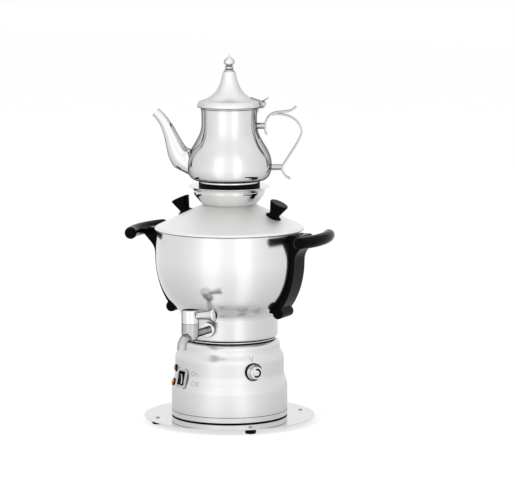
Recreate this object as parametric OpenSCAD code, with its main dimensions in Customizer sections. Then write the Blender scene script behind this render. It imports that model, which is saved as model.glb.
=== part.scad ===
// Electric samovar: a heated water vessel with a tap on a base, and a teapot on the vessel's lid.
// Millimetres, +Z up. The origin is the centre of the tray at the level of the table.
// The tap faces -Y and the two side handles lie on the X axis.
// Azimuths are counted from the tap side, -Y, towards +X.

/* [Tray and feet] */
// Diameter of the round tray plate
tray_d = 300; // [280:1:340]
// Thickness of the tray plate
tray_t = 1.2; // [1:0.1:2]
// Diameter of a rubber foot
foot_d = 19; // [15:0.5:22]
// Height of a rubber foot under the tray
foot_h = 9.4; // [7:0.1:12]
// Distance of the feet from the tray's edge
foot_inset = 19; // [13:0.5:22]
// Number of feet
foot_count = 4; // [3:1:6]
// Turn of the first foot from the tap side
foot_az = 42; // [0:1:90]
// Shank diameter of a foot screw
foot_screw_d = 4; // [3:0.5:5]
// Height of the rubber ring between tray and base
gasket_h = 1.8; // [1.6:0.1:4]

/* [Base] */
// Outer diameter of the base at its bottom
base_d = 203.6; // [198:0.2:212]
// Outer diameter of the band that carries the controls
band_d = 191.2; // [188:0.2:195]
// Outer diameter under the shoulder
neck_d = 177; // [174:0.5:182]
// Wall of the base shell
base_t = 1; // [0.8:0.1:1.4]
// Height of the loose ring at the bottom of the base
trim_h = 8.8; // [8:0.1:14]
// Height and depth of the groove above that ring
groove = 0.9; // [0.3:0.1:1]
// Height of the straight lower wall, from the bottom of the base
skirt_h = 47.6; // [44:0.1:56]
// Height of the curved step up to the control band
step_h = 33; // [28:0.5:40]
// Height of the control band
band_h = 19; // [17:0.5:24]
// Height of the upper curved step
upper_step_h = 23; // [20:0.5:28]
// Height of the rounded shoulder
shoulder_h = 11; // [10:0.5:14]
// Radius of the rounded shoulder
shoulder_r = 9; // [7:0.5:9.5]
// Width of the rim between the tie rods and the opening in the top of the base
hatch_rim = 4; // [3:0.5:6]
// Thickness of the bottom plate
plate_t = 1.2; // [1:0.1:1.6]

/* [Vessel] */
// Outer diameter of the straight foot of the vessel
vessel_foot_d = 170; // [166:0.5:174]
// Largest outer diameter of the bowl
bowl_d = 257; // [254:0.5:264]
// Height of the straight foot of the vessel
vessel_foot_h = 34; // [31:0.5:37]
// Height of the widest level above the vessel's floor
bowl_mid_h = 138; // [134:0.5:144]
// Height of the vessel from floor to rim
vessel_h = 187.5; // [184:0.5:192]
// Wall of the vessel
vessel_t = 1; // [0.8:0.1:1.4]
// Width of the turned-out rim
rim_w = 3; // [2:0.1:4]
// Thickness of the turned-out rim
rim_t = 1.6; // [1.2:0.1:2]

/* [Heating] */
// Distance of the heater ring inside the edge of that opening
heater_inset = 9; // [8.5:0.5:12]
// Diameter of the heater tube
heater_tube_d = 8; // [6.5:0.1:9]
// Height of the heater ring above the floor
heater_h = 16; // [14:0.5:20]
// Diameter of the heater's threaded bushes
bush_d = 12; // [11:0.5:14]
// Height of the pocket for the temperature bulb
well_h = 42; // [38:1:50]
// Diameter of the temperature bulb
bulb_d = 6.4; // [5:0.1:6.8]
// Diameter of the tie rods
rod_d = 6; // [5:0.5:7]
// Room between a tie rod and the ring at the neck
rod_gap = 4.3; // [2:0.1:6]

/* [Controls] */
// Azimuth of the thermostat knob
dial_az = 51.5; // [46:0.1:56]
// Diameter of the thermostat knob at its skirt
dial_d = 28; // [25:0.1:28.6]
// Diameter of the thermostat knob's face
dial_face_d = 22; // [20:0.5:24]
// Reach of the thermostat knob from the wall
dial_reach = 14.5; // [12.5:0.1:17]
// Diameter of the black ring round the knob
bezel_d = 31.3; // [30.6:0.1:34]
// Azimuth of the switch
switch_az = -32.5; // [-34:0.1:-28]
// Height of the middle of the switch
switch_z = 83; // [82:0.1:85]
// Upward tilt of the switch over the slope of the wall behind it
switch_tilt = 1; // [-1:0.5:3]
// Width of the switch frame
switch_w = 31.5; // [30:0.5:35]
// Height of the switch frame
switch_h = 34; // [33:0.5:38]
// Azimuth of the two lamps
lamp_az = -50; // [-54:0.1:-49]
// Diameter of a lamp
lamp_d = 13; // [12:0.5:15]
// Height of the red lamp
red_z = 97; // [96:0.1:99]
// Height of the amber lamp
amber_z = 72.5; // [71:0.1:74]
// Height of the cable gland
gland_z = 46; // [44:0.5:50]
// Bore of the cable gland
gland_bore = 8.2; // [7:0.1:9]

/* [Tap] */
// Distance of the tap's vertical axis from the vessel's axis
tap_reach = 153; // [148:0.5:160]
// Height of the tap's stem above the vessel's floor
tap_stem_h = 20.5; // [18:0.5:24]
// Diameter of the tap's stem
tap_stem_d = 13; // [12:0.1:14]
// Diameter of the ring against the vessel
tap_ring_d = 26.6; // [24:0.1:30]
// Diameter of the tap's body and head
tap_d = 29.5; // [28.5:0.1:32]
// Height of the turning head
tap_head_h = 22.8; // [22:0.1:26]
// Diameter of the tap's rotating plug
plug_d = 16; // [14:0.1:17]
// Diameter of the outlet
outlet_d = 15.6; // [14:0.1:17]
// Radius of the outlet's bend
outlet_bend = 16; // [14:0.5:18]
// Reach of the lever's end from the tap's axis
lever_reach = 47; // [42:0.5:54]
// Diameter of the lever at its root
lever_d = 12; // [10:0.1:13]
// Diameter of the lever's flared end
lever_end_d = 22; // [20:0.1:24]
// Rise of the lever in degrees
lever_rise = 7; // [4:0.5:9]

/* [Side handles] */
// Diameter of a grip
grip_d = 21.7; // [20:0.1:24]
// Distance of a grip's centre line from the vessel's axis
grip_r = 174; // [172:0.5:182]
// Half of the angle that a grip spans
grip_half = 20.5; // [18:0.5:23]
// Width of a handle's bracket
bracket_w = 46; // [42:0.5:50]
// Thickness of a bracket at the bowl's widest level
bracket_t = 6.5; // [6:0.1:9]
// Thickness of the arm that carries the grip
arm_t = 9; // [8:0.1:11]
// Diameter of the scroll at a bracket's foot
scroll_d = 19; // [17:0.5:21]
// Width of that scroll
scroll_w = 48; // [46:0.5:52]
// Diameter of a handle screw
handle_screw_d = 5; // [4:0.5:5]

/* [Lid and pot rest] */
// Diameter of the vessel's lid
lid_d = 262; // [260:0.5:268]
// Wall of the lid
lid_t = 1; // [0.8:0.1:1.2]
// Slope of the lid's cone in degrees
lid_slope = 25.5; // [24:0.5:27]
// Depth of the lid's locating ring in the vessel's mouth
lid_skirt_h = 9; // [6:0.5:12]
// Height of a lid knob
knob_h = 27; // [25:0.5:32]
// Diameter of a lid knob's top
knob_d = 33; // [30:0.1:36]
// Diameter of a lid knob's waist
knob_waist_d = 18.6; // [17:0.1:21]
// Height of the waist above the lid
knob_waist_h = 6; // [5:0.5:8]
// Diameter of a lid knob's foot
knob_base_d = 28; // [26:0.1:32]
// Distance of the lid knobs from the axis
knob_ring_r = 85; // [80:0.5:90]
// Diameter of the pot rest at its bottom
rest_base_d = 93; // [90:0.5:96]
// Diameter of the pot rest under its saucer
rest_neck_d = 127; // [124:0.5:130]
// Diameter of the pot rest's saucer
rest_d = 144; // [141:0.5:150]
// Height of the pot rest
rest_h = 32.5; // [30:0.5:36]
// Wall of the pot rest
rest_t = 1; // [0.8:0.1:1.2]
// Diameter of the steam opening through the lid
steam_d = 80; // [70:1:84]
// Outer diameter of the black seat ring
seat_d = 107; // [104:0.5:110]
// Height of the black seat ring above the saucer
seat_h = 6.2; // [5:0.1:10]

/* [Teapot] */
// Turn of the teapot on its rest, from the line of the side handles
pot_turn = 26; // [0:1:60]
// Wall of the teapot
pot_t = 1; // [0.8:0.1:1.2]
// Largest diameter of the teapot
pot_d = 148.4; // [144:0.2:152]
// Diameter of the teapot's neck
pot_neck_d = 97; // [95:0.5:100]
// Diameter of the teapot's foot ring
pot_foot_d = 106; // [103:0.5:109]
// Height of the visible part of the foot ring
pot_foot_h = 2.8; // [0.6:0.1:4]
// Height of the widest level above the body's floor
pot_belly_h = 28; // [26:0.5:31]
// Height at which the neck begins
pot_neck_z = 97; // [94:0.5:100]
// Height of the teapot's body
pot_h = 129; // [127:0.5:133]
// Diameter of the spout's tip
spout_tip_d = 16; // [13:0.1:18]
// Diameter of the spout's root
spout_root_d = 43; // [39:0.5:46]
// Thickness of the handle's strap
strap_t = 3.2; // [2.6:0.1:4]
// Width of the handle's strap
strap_w = 11; // [9:0.5:14]
// Diameter of the handle's ferrules
ferrule_d = 10.7; // [9:0.1:12]

/* [Teapot lid] */
// Diameter of the teapot's lid
pot_lid_d = 112; // [110:0.5:116]
// Height of the teapot's lid from its rim to the finial
pot_lid_h = 61.5; // [58:0.5:65]
// Diameter of the lid's point under the finial
pot_lid_tip_d = 22.4; // [20:0.2:26]
// Diameter of the finial's bulb
finial_d = 19.2; // [17:0.1:22]
// Height of the finial
finial_h = 30.5; // [29:0.5:34]
// Diameter of the hinge's knuckles
knuckle_d = 8; // [7:0.1:9]
// Diameter of the hinge pin
hinge_pin_d = 2.8; // [2.4:0.1:3.2]

/* [Hidden] */
$fn = 72;

// Clearances: a running fit on a pin, a screw in its hole, and room between bodies that part
run = 0.06;
loose = 0.3;
slack = 0.3;

steel = [0.78, 0.78, 0.77];
bright = [0.88, 0.88, 0.88];
black = [0.06, 0.06, 0.06];

// ---------- curves ----------
// A point of a cubic curve, and the whole curve in n steps, with or without its first point
function bez_at(a, b, c, d, t) =
    let (u = 1 - t) u * u * u * a + 3 * u * u * t * b + 3 * u * t * t * c + t * t * t * d;
function bez(a, b, c, d, n = 8, first = 0) = [for (i = [first:n]) bez_at(a, b, c, d, i / n)];
// An S-shaped step between two upright walls
function s_step(p, q, n = 8) =
    let (m = (p[1] + q[1]) / 2) bez(p, [p[0], m], [q[0], m], q, n, 1);
// Part of an upright oval with the half axes a and b
function oval(c, a, b, from, to, n = 8, first = 0) =
    [for (i = [first:n]) let (t = from + (to - from) * i / n) c + [a * cos(t), b * sin(t)]];
function unit(v) = v / norm(v);
function left_of(p, i) =
    let (d = unit(p[min(i + 1, len(p) - 1)] - p[max(i - 1, 0)])) [-d[1], d[0]];
// The same outline moved to its left by t, which is inwards for an outline that climbs
function inset(p, t) =
    [for (i = [0:len(p) - 1]) let (q = p[i] + t * left_of(p, i)) [max(0, q[0]), q[1]]];
function reversed(p) = [for (i = [len(p) - 1:-1:0]) p[i]];
// A closed wall of thickness t inside an outline, and a band of thickness t along a line
function wall(p, t) = concat(p, reversed(inset(p, t)));
function band(p, t) =
    concat([for (i = [0:len(p) - 1]) p[i] + t / 2 * left_of(p, i)],
        [for (i = [len(p) - 1:-1:0]) p[i] - t / 2 * left_of(p, i)]);
// Radius of an outline at a height, and its lean there in degrees, positive where it widens upwards
function radius_at(p, z) = lookup(z, [for (q = p) [q[1], q[0]]]);
function lean_at(p, z) = atan((radius_at(p, z + 2) - radius_at(p, z - 2)) / 4);

module spun(p) rotate_extrude() polygon(p);
// The space inside an outline, from its first level to its last, and the same in finer steps
module filled(p) spun(concat([[0, p[0][1]]], p, [[0, p[len(p) - 1][1]]]));
module core(p) filled(p, $fn = 360);
module tube(od, id, h) difference() {
    cylinder(d = od, h = h);
    translate([0, 0, -1]) cylinder(d = id, h = h + 2);
}
module hex(af, h) cylinder(d = af / cos(30), h = h, $fn = 6);
// A pan head above z = 0 and its shank below
module pan_screw(d, len, head = 1) {
    translate([0, 0, -len]) cylinder(d = d, h = len);
    spun([[0, 0], [d * 0.95, 0], [d * 0.95, head * 0.5], [d * 0.6, head], [0, head]]);
}
// Copies round the Z axis, the first at azimuth a0
module ring_of(n, a0 = 0) for (i = [0:n - 1]) rotate([0, 0, a0 + 360 * i / n]) children();
// A frame on an upright wall: +Z out of the wall, +Y up, tilted upwards by tilt
module on_wall(az, r, z, tilt = 0)
    rotate([0, 0, az]) translate([0, -r, z]) rotate([90 - tilt, 0, 0]) children();
// A block with rounded upright edges
module pad(w, l, h, r) {
    translate([-w / 2 + r, -l / 2, 0]) cube([w - 2 * r, l, h]);
    translate([-w / 2, -l / 2 + r, 0]) cube([w, l - 2 * r, h]);
    for (x = [-1, 1], y = [-1, 1]) translate([x * (w / 2 - r), y * (l / 2 - r), 0]) cylinder(r = r, h = h);
}
// A tube of round rings along a path in the XZ plane, each ring [centre, radius, direction]
function ring_points(c, r, dir, wide, n) =
    [for (i = [0:n - 1]) let (a = 360 * i / n, s = r * cos(a))
        [c[0] - dir[1] * s, wide * r * sin(a), c[1] + dir[0] * s]];
module loft_loop(rings) {
    n = len(rings[0]);
    m = len(rings);
    pts = [for (r = rings) for (p = r) p];
    faces = [for (j = [0:m - 1], i = [0:n - 1], k = [0, 1])
        let (j2 = (j + 1) % m, i2 = (i + 1) % n)
            k == 0 ? [j * n + i, j * n + i2, j2 * n + i2] : [j * n + i, j2 * n + i2, j2 * n + i]];
    polyhedron(pts, faces);
}

// ---------- levels and outlines ----------
tray_z = foot_h;
tray_top = tray_z + tray_t;
base_z = tray_top + gasket_h;
base_r = base_d / 2;
band_r = band_d / 2;
neck_r = neck_d / 2;
shell_z = base_z + trim_h + groove;
skirt_z = base_z + skirt_h;
band_z = skirt_z + step_h;
band_top = band_z + band_h;
neck_z = band_top + upper_step_h;
base_top = neck_z + shoulder_h;
plate_r = base_r - 5.3;
plate_screw_r = plate_r - 5.6;
plate_screw_d = 4;
flange_r = plate_screw_r - 4.5;
// The stack of two seals and a steel ring between base and vessel, with the tie rods inside it
seal_t = 2.1;
neck_ring_h = 1.8;
neck_ring_r = neck_r - 7.2;
neck_seal_w = 8;
floor_z = base_top + 2 * seal_t + neck_ring_h;
rod_ring_r = neck_ring_r - neck_seal_w - rod_gap - rod_d / 2;
hatch_r = rod_ring_r - rod_d / 2 - hatch_rim;
heater_r = hatch_r - heater_inset;

base_outline = concat(
    [[base_r, shell_z], [base_r, skirt_z]],
    s_step([base_r, skirt_z], [band_r, band_z]),
    [[band_r, band_top]],
    s_step([band_r, band_top], [neck_r, neck_z]),
    oval([neck_r - shoulder_r, base_top - shoulder_r], shoulder_r, shoulder_r, 0, 90),
    [[hatch_r, base_top]]
);

foot_r = vessel_foot_d / 2;
foot_edge = 3;
bowl_r = bowl_d / 2;
bowl_round = 64.5;
bowl_deep = 97;
bowl_tall = 182;
bowl_c = [bowl_r - bowl_round, floor_z + bowl_mid_h];
bowl_join = -50.6;
bowl_start = bowl_c + [bowl_round * cos(bowl_join), bowl_deep * sin(bowl_join)];
bowl_dir = unit([-bowl_round * sin(bowl_join), bowl_deep * cos(bowl_join)]);
rim_z = floor_z + vessel_h;
rim_turn = asin((rim_z - bowl_c[1]) / bowl_tall);
vessel_outline = concat(
    [[0, floor_z]],
    oval([foot_r - foot_edge, floor_z + foot_edge], foot_edge, foot_edge, -90, 0, 4),
    bez([foot_r, floor_z + vessel_foot_h], [foot_r, floor_z + vessel_foot_h + 10],
        bowl_start - 12 * bowl_dir, bowl_start, 8),
    oval(bowl_c, bowl_round, bowl_deep, bowl_join, 0, 10, 1),
    oval(bowl_c, bowl_round, bowl_tall, 0, rim_turn, 4, 1)
);
mouth_r = radius_at(vessel_outline, rim_z) - vessel_t;
rim_r = mouth_r + vessel_t + rim_w;

// ---------- tray and feet ----------
foot_ring_r = tray_d / 2 - foot_inset;
foot_screw_head = 1.7;
rod_count = 3;
rod_end_z = foot_h - 6;
nut_h = 5;

module at_feet() ring_of(foot_count, foot_az) translate([0, -foot_ring_r, 0]) children();
module at_rods() ring_of(rod_count) translate([0, -rod_ring_r, 0]) children();

module tray() color(bright) difference() {
    translate([0, 0, tray_z]) cylinder(d = tray_d, h = tray_t, $fn = 128);
    at_feet() cylinder(d = foot_screw_d + loose, h = base_z);
    at_rods() cylinder(d = rod_d + loose, h = base_z);
}

// A foot's lower edge is rounded and its top lies flat under the tray
foot_round = 2.5;
foot_hole = 3;
module tray_feet() color(black) at_feet() difference() {
    filled(concat(oval([foot_d / 2 - foot_round, foot_round], foot_round, foot_round, -90, 0, 5),
        [[foot_d / 2, foot_h]]));
    translate([0, 0, foot_h - foot_hole]) cylinder(d = foot_screw_d + 2 * run, h = 6);
}

module foot_screws() color(steel) at_feet()
    translate([0, 0, tray_top]) pan_screw(foot_screw_d, tray_t + foot_hole - 0.3, foot_screw_head);

module base_gasket() color(black) translate([0, 0, tray_top])
    tube(2 * (base_r - 0.5), 2 * (plate_r - 1.5), gasket_h);

// ---------- base ----------
spigot_h = 10;
spigot_r = base_r - base_t - 0.1;
spigot_t = 1.2;
module base_ring() color(steel) difference() {
    spun([
        [base_r, base_z], [base_r, shell_z - groove], [base_r - groove, shell_z - groove],
        [base_r - groove, shell_z], [spigot_r, shell_z], [spigot_r, shell_z + spigot_h],
        [spigot_r - spigot_t, shell_z + spigot_h], [spigot_r - spigot_t, base_z + 2 * plate_t],
        [flange_r, base_z + 2 * plate_t], [flange_r, base_z + plate_t],
        [plate_r + 0.2, base_z + plate_t], [plate_r + 0.2, base_z]
    ]);
    ring_of(6, 30) translate([0, -plate_screw_r, base_z])
        cylinder(d = plate_screw_d + 2 * run, h = 3 * plate_t);
}

// The plate reaches down to the tray in a pressed dish at each tie rod
dish_d = 22;
module base_plate() color(steel) difference() {
    union() {
        translate([0, 0, base_z]) cylinder(r = plate_r, h = plate_t);
        at_rods() translate([0, 0, tray_top]) cylinder(d = dish_d, h = gasket_h + plate_t);
    }
    at_rods() {
        translate([0, 0, tray_top + plate_t]) cylinder(d = dish_d - 2 * plate_t, h = gasket_h + plate_t);
        cylinder(d = rod_d + loose, h = base_z + 10);
    }
    ring_of(6, 30) translate([0, -plate_screw_r, tray_top])
        cylinder(d = plate_screw_d + loose, h = gasket_h + 3 * plate_t);
    on_base_plate(0, terminal_y) for (x = [-1, 1]) translate([x * terminal_pitch / 2, 0, -3])
        cylinder(d = 3 + loose, h = 6);
}

plate_screw_gap = 0.5;
module plate_screws() color(steel) ring_of(6, 30) translate([0, -plate_screw_r, base_z])
    mirror([0, 0, 1]) pan_screw(plate_screw_d, 2 * plate_t + 3, gasket_h - plate_screw_gap);

dial_hole_d = 11;
switch_hole_w = 19;
switch_hole_h = 24.5;
lamp_hole_d = 10.4;
gland_d = 16;
module base_shell() color(steel) difference() {
    spun(wall(base_outline, base_t));
    on_dial() translate([0, 0, -6]) cylinder(d = dial_hole_d, h = 12);
    on_switch() translate([-switch_hole_w / 2, -switch_hole_h / 2, -8]) cube([switch_hole_w, switch_hole_h, 20]);
    on_lamp(red_z) translate([0, 0, -6]) cylinder(d = lamp_hole_d, h = 12);
    on_lamp(amber_z) translate([0, 0, -6]) cylinder(d = lamp_hole_d, h = 12);
    on_gland() translate([0, 0, -6]) cylinder(d = gland_d + loose, h = 12);
    at_rods() translate([0, 0, base_top - 3]) cylinder(d = rod_d + 1, h = 6);
}

// Three rods are welded under the vessel's floor and clamp vessel, base and tray together
module tie_rods() color(steel) at_rods() translate([0, 0, rod_end_z]) cylinder(d = rod_d, h = floor_z - rod_end_z);
module tie_nuts() color(steel) at_rods() translate([0, 0, tray_z - nut_h]) difference() {
    hex(10, nut_h);
    translate([0, 0, -1]) cylinder(d = rod_d + 2 * run, h = nut_h + 2);
}

module neck_seals() color(black) for (z = [base_top, floor_z - seal_t])
    translate([0, 0, z]) tube(2 * (neck_ring_r - 0.8), 2 * (neck_ring_r - neck_seal_w), seal_t);
module neck_ring() color(bright) translate([0, 0, base_top + seal_t])
    tube(2 * neck_ring_r, 2 * (neck_ring_r - neck_seal_w), neck_ring_h);

// ---------- vessel and heating ----------
heater_gap = 60;
heater_z = floor_z + heater_h;
heater_elbow = 12;
well_x = -16;
well_t = 1;
well_bore = bulb_d + 0.6;
tap_z = floor_z + tap_stem_h;

// The heater's two legs stand at the ends of its open ring, at the back of the vessel
leg_offset = heater_elbow;
module at_legs() for (s = [-1, 1]) rotate([0, 0, 90 + s * heater_gap / 2])
    translate([heater_r, -s * leg_offset, 0]) children();

module vessel() color(steel) difference() {
    union() {
        spun(wall(vessel_outline, vessel_t));
        translate([0, 0, rim_z - rim_t]) tube(2 * rim_r, 2 * mouth_r + vessel_t, rim_t);
        translate([well_x, 0, floor_z]) cylinder(d = well_bore + 2 * well_t, h = well_h);
    }
    translate([well_x, 0, floor_z - 1]) cylinder(d = well_bore, h = well_h);
    at_legs() translate([0, 0, floor_z - 2]) cylinder(d = bush_d + loose, h = 5);
    on_wall(0, foot_r, tap_z) translate([0, 0, -6]) cylinder(d = tap_stem_d + loose, h = 12);
    at_handle_screws() translate([0, 0, -6]) cylinder(d = handle_screw_d + loose, h = 12);
}

collar_h = 3;
bush_below = 13;
// Bends are drawn slimmer than straight runs, which reach a little way into them
bend_slim = 0.2;
bend_into = 0.6;
module heater_element() color([0.55, 0.53, 0.5]) {
    translate([0, 0, heater_z]) rotate([0, 0, 90 + heater_gap / 2 - bend_into])
        rotate_extrude(angle = 360 - heater_gap + 2 * bend_into) translate([heater_r, 0]) circle(d = heater_tube_d);
    for (s = [-1, 1]) rotate([0, 0, 90 + s * heater_gap / 2]) {
        translate([heater_r, 0, heater_z - heater_elbow]) rotate([90, 0, -s * 90])
            rotate_extrude(angle = 90) translate([heater_elbow, 0]) circle(d = heater_tube_d - bend_slim);
        translate([heater_r, -s * leg_offset, 0]) {
            translate([0, 0, floor_z - bush_below - 8])
                cylinder(d = heater_tube_d, h = heater_z - heater_elbow - floor_z + bush_below + 8 + bend_into);
            translate([0, 0, floor_z - bush_below]) cylinder(d = bush_d, h = bush_below + vessel_t + 3);
            translate([0, 0, floor_z + vessel_t + seal_w]) cylinder(d = bush_d + 6, h = collar_h);
            translate([0, 0, floor_z - bush_below - 20]) cylinder(d = 4, h = 13);
        }
    }
}
seal_w = 1.5;
module heater_seals() color(black) at_legs() translate([0, 0, floor_z + vessel_t])
    tube(bush_d + 6, bush_d + 2 * run, seal_w);
module heater_nuts() color([0.75, 0.62, 0.35]) at_legs() translate([0, 0, floor_z - 5]) difference() {
    hex(bush_d + 7, 5);
    translate([0, 0, -1]) cylinder(d = bush_d + 2 * run, h = 8);
}

// The bulb stands in the vessel's pocket, and its capillary runs down and out to the thermostat
bulb_len = 36;
capillary_d = 2;
capillary_z = base_top - 16;
capillary_bend = 8;
capillary_az = dial_az;
dial_z = (band_z + band_top) / 2 - 2.2;
dial_r = radius_at(base_outline, dial_z);
body_back = dial_r - base_t - 6;
body_deep = 22;
body_w = 40;
body_h = 36;
capillary_end_r = body_back - body_deep / 2;
capillary_end = [capillary_end_r * sin(capillary_az), -capillary_end_r * cos(capillary_az)];
capillary_from = [well_x, 0];
capillary_run = norm(capillary_end - capillary_from);
capillary_turn = atan2(capillary_end[1] - capillary_from[1], capillary_end[0] - capillary_from[0]);
module capillary_elbow(turn) rotate([90, 0, 0]) rotate([0, 0, turn])
    rotate_extrude(angle = 90) translate([capillary_bend, 0]) circle(d = capillary_d - bend_slim);
module thermostat_bulb() color([0.8, 0.6, 0.4]) {
    translate([well_x, 0, floor_z + well_h - 2 - bulb_len]) cylinder(d = bulb_d, h = bulb_len);
    translate([well_x, 0, capillary_z + capillary_bend - bend_into])
        cylinder(d = capillary_d, h = floor_z + well_h - bulb_len - capillary_z - capillary_bend + bend_into);
    translate([well_x, 0, capillary_z]) rotate([0, 0, capillary_turn]) {
        translate([capillary_bend - bend_into, 0, 0]) rotate([0, 90, 0])
            cylinder(d = capillary_d, h = capillary_run - 2 * capillary_bend + 2 * bend_into);
        translate([capillary_bend, 0, capillary_bend]) capillary_elbow(180);
        translate([capillary_run - capillary_bend, 0, -capillary_bend]) capillary_elbow(0);
    }
    translate([capillary_end[0], capillary_end[1], dial_z + body_h / 2])
        cylinder(d = capillary_d, h = capillary_z - capillary_bend - dial_z - body_h / 2 + bend_into);
}

// ---------- thermostat ----------
dial_neck_d = 10;
shaft_d = 6;
bezel_reach = 3;
module on_dial() on_wall(dial_az, dial_r, dial_z) children();
module thermostat_body() color([0.35, 0.33, 0.3]) on_dial() difference() {
    union() {
        translate([-body_w / 2, -body_h / 2, -(dial_r - body_back) - body_deep]) cube([body_w, body_h, body_deep]);
        translate([0, 0, -(dial_r - body_back)]) cylinder(d = dial_neck_d, h = dial_r - body_back + 1);
    }
    translate([0, 0, -(dial_r - body_back) - 8]) cylinder(d = shaft_d + 2 * run, h = 30);
}
module thermostat_bezel() color(black) difference() {
    on_dial() translate([0, 0, -3]) difference() {
        cylinder(d = bezel_d, h = bezel_reach + 3);
        translate([0, 0, -1]) cylinder(d = dial_hole_d, h = bezel_reach + 5);
        translate([0, 0, 3 + bezel_reach - 1]) cylinder(d = dial_d + 2 * slack, h = 3);
    }
    core(base_outline);
}
module thermostat_shaft() color(steel) on_dial() translate([0, 0, -(dial_r - body_back) - 7.5])
    cylinder(d = shaft_d, h = dial_r - body_back + 7.5 + dial_reach - 4);
// The knob narrows from its skirt to its face, which has a turned groove round a flat middle
dial_groove_r = 6.4;
module thermostat_knob() color(bright) on_dial() difference() {
    translate([0, 0, bezel_reach - 1 + slack]) spun(concat(
        [[0, 0], [dial_d / 2, 0], [dial_d / 2, 1.6]],
        bez([dial_d / 2, 1.6], [dial_d / 2 - 1.2, 5], [dial_face_d / 2 + 0.8, dial_len - 5],
            [dial_face_d / 2, dial_len - 0.6], 6, 1),
        [[dial_face_d / 2 - 0.6, dial_len], [dial_groove_r + 0.8, dial_len], [dial_groove_r, dial_len - 0.8],
            [dial_groove_r - 0.8, dial_len], [0, dial_len]]
    ));
    cylinder(d = shaft_d + 2 * run, h = dial_reach - 4 + run);
}
dial_len = dial_reach - bezel_reach + 1 - slack;

module safety_cutout() color([0.3, 0.28, 0.26]) translate([20, -14, 0]) {
    translate([0, 0, floor_z - 9]) cylinder(d = 16, h = 9);
    for (x = [-1, 1]) translate([x * 4 - 0.4, -3, floor_z - 16]) cube([0.8, 6, 7.5]);
}

// ---------- switch, lamps, mains entry ----------
switch_r = radius_at(base_outline, switch_z);
rocker_w = 16;
rocker_h = 21.5;
switch_span = switch_h - 4;
wall_slope = atan((radius_at(base_outline, switch_z - switch_span / 2)
    - radius_at(base_outline, switch_z + switch_span / 2)) / switch_span);
module on_switch() on_wall(switch_az, switch_r, switch_z, wall_slope + switch_tilt) children();
// How far the wall rises over the switch's plane at a place along it, and how far the frame tops that
function rise_at(t) = let (a = wall_slope + switch_tilt)
    (radius_at(base_outline, switch_z + t * cos(a)) - switch_r + t * sin(a)) * cos(a);
switch_lip = 0.7;
switch_proud = switch_lip + max([for (i = [-4:4]) rise_at(i * switch_h / 8)]);
// The frame's back follows the wall, and its front is flat
module switch_frame() color(steel) difference() {
    on_switch() translate([0, 0, -9]) difference() {
        pad(switch_w, switch_h, 9 + switch_proud, 5);
        translate([0, 0, -1]) pad(switch_hole_w + 1, switch_hole_h + 1, 25, 1.5);
    }
    core(base_outline);
}
body_clear = 0.25;
switch_deep = 18;
module switch_body() color(black) on_switch() difference() {
    union() {
        translate([-switch_hole_w / 2 + body_clear, -switch_hole_h / 2 + body_clear, -switch_deep])
            cube([switch_hole_w - 2 * body_clear, switch_hole_h - 2 * body_clear, switch_deep + switch_proud]);
        for (y = [-8, 0, 8]) translate([-3.1, y - 0.4, -switch_deep - 7]) cube([6.2, 0.8, 8]);
    }
    translate([-rocker_w / 2 - 0.4, -rocker_h / 2 - 0.4, -10.6]) cube([rocker_w + 0.8, rocker_h + 0.8, 22]);
    translate([-rocker_w / 2 - 1.5, 0, rocker_pivot]) rotate([0, 90, 0])
        cylinder(d = rocker_pin + 2 * run, h = rocker_w + 3);
}
rocker_pin = 2.5;
rocker_pivot = -3.5;
rocker_lean = 9;
// The rocker leans to its lower side at rest and turns about its own pin
module switch_rocker() color(black) on_switch() translate([0, 0, rocker_pivot]) rotate([rocker_lean, 0, 0])
    difference() {
        union() {
            intersection() {
                translate([-rocker_w / 2, -rocker_h / 2 + 0.6, -4]) cube([rocker_w, rocker_h - 1.2, 20]);
                rotate([0, 90, 0]) cylinder(r = rocker_h / 2 - 0.3, h = rocker_w, center = true);
            }
            rotate([0, 90, 0]) cylinder(d = rocker_pin, h = rocker_w + 2.4, center = true);
        }
        translate([0, 0, rocker_face + rocker_hollow]) rotate([0, 90, 0])
            cylinder(r = rocker_hollow, h = rocker_w + 2, center = true);
        translate([-rocker_w, -rocker_h, rocker_face + 3]) cube([2 * rocker_w, 2 * rocker_h, 20]);
    }
rocker_face = 6;
rocker_hollow = 28;

lamp_proud = 3.2;
lamp_lip = 1.1;
module on_lamp(z) on_wall(lamp_az, radius_at(base_outline, z), z, lean_of_wall(z)) children();
function lean_of_wall(z) = -lean_at(base_outline, z);
module lamp(z) on_lamp(z) {
    translate([0, 0, -20]) cylinder(d = lamp_hole_d - 2 * body_clear, h = 22);
    translate([0, 0, 1.5]) spun(concat(oval([0, 0.5], lamp_d / 2 - lamp_lip, lamp_proud - 0.5, 0, 90, 6), [[0, 0]],
        [[lamp_d / 2 - lamp_lip, 0]]));
    for (x = [-2.5, 2.5]) translate([x - 0.4, -1.4, -26]) cube([0.8, 2.8, 7]);
}
module lamp_red() color([0.75, 0.05, 0.08]) lamp(red_z);
module lamp_amber() color([0.95, 0.5, 0.1]) lamp(amber_z);
module lamp_bezels() color(black) difference() {
    for (z = [red_z, amber_z]) on_lamp(z) difference() {
        translate([0, 0, -3]) cylinder(d = lamp_d, h = 3 + 2.2);
        translate([0, 0, -4]) cylinder(d = lamp_hole_d, h = 10);
        translate([0, 0, 1.5]) cylinder(d = lamp_d - 2 * lamp_lip + 2 * run, h = 10);
    }
    core(base_outline);
}

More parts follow.
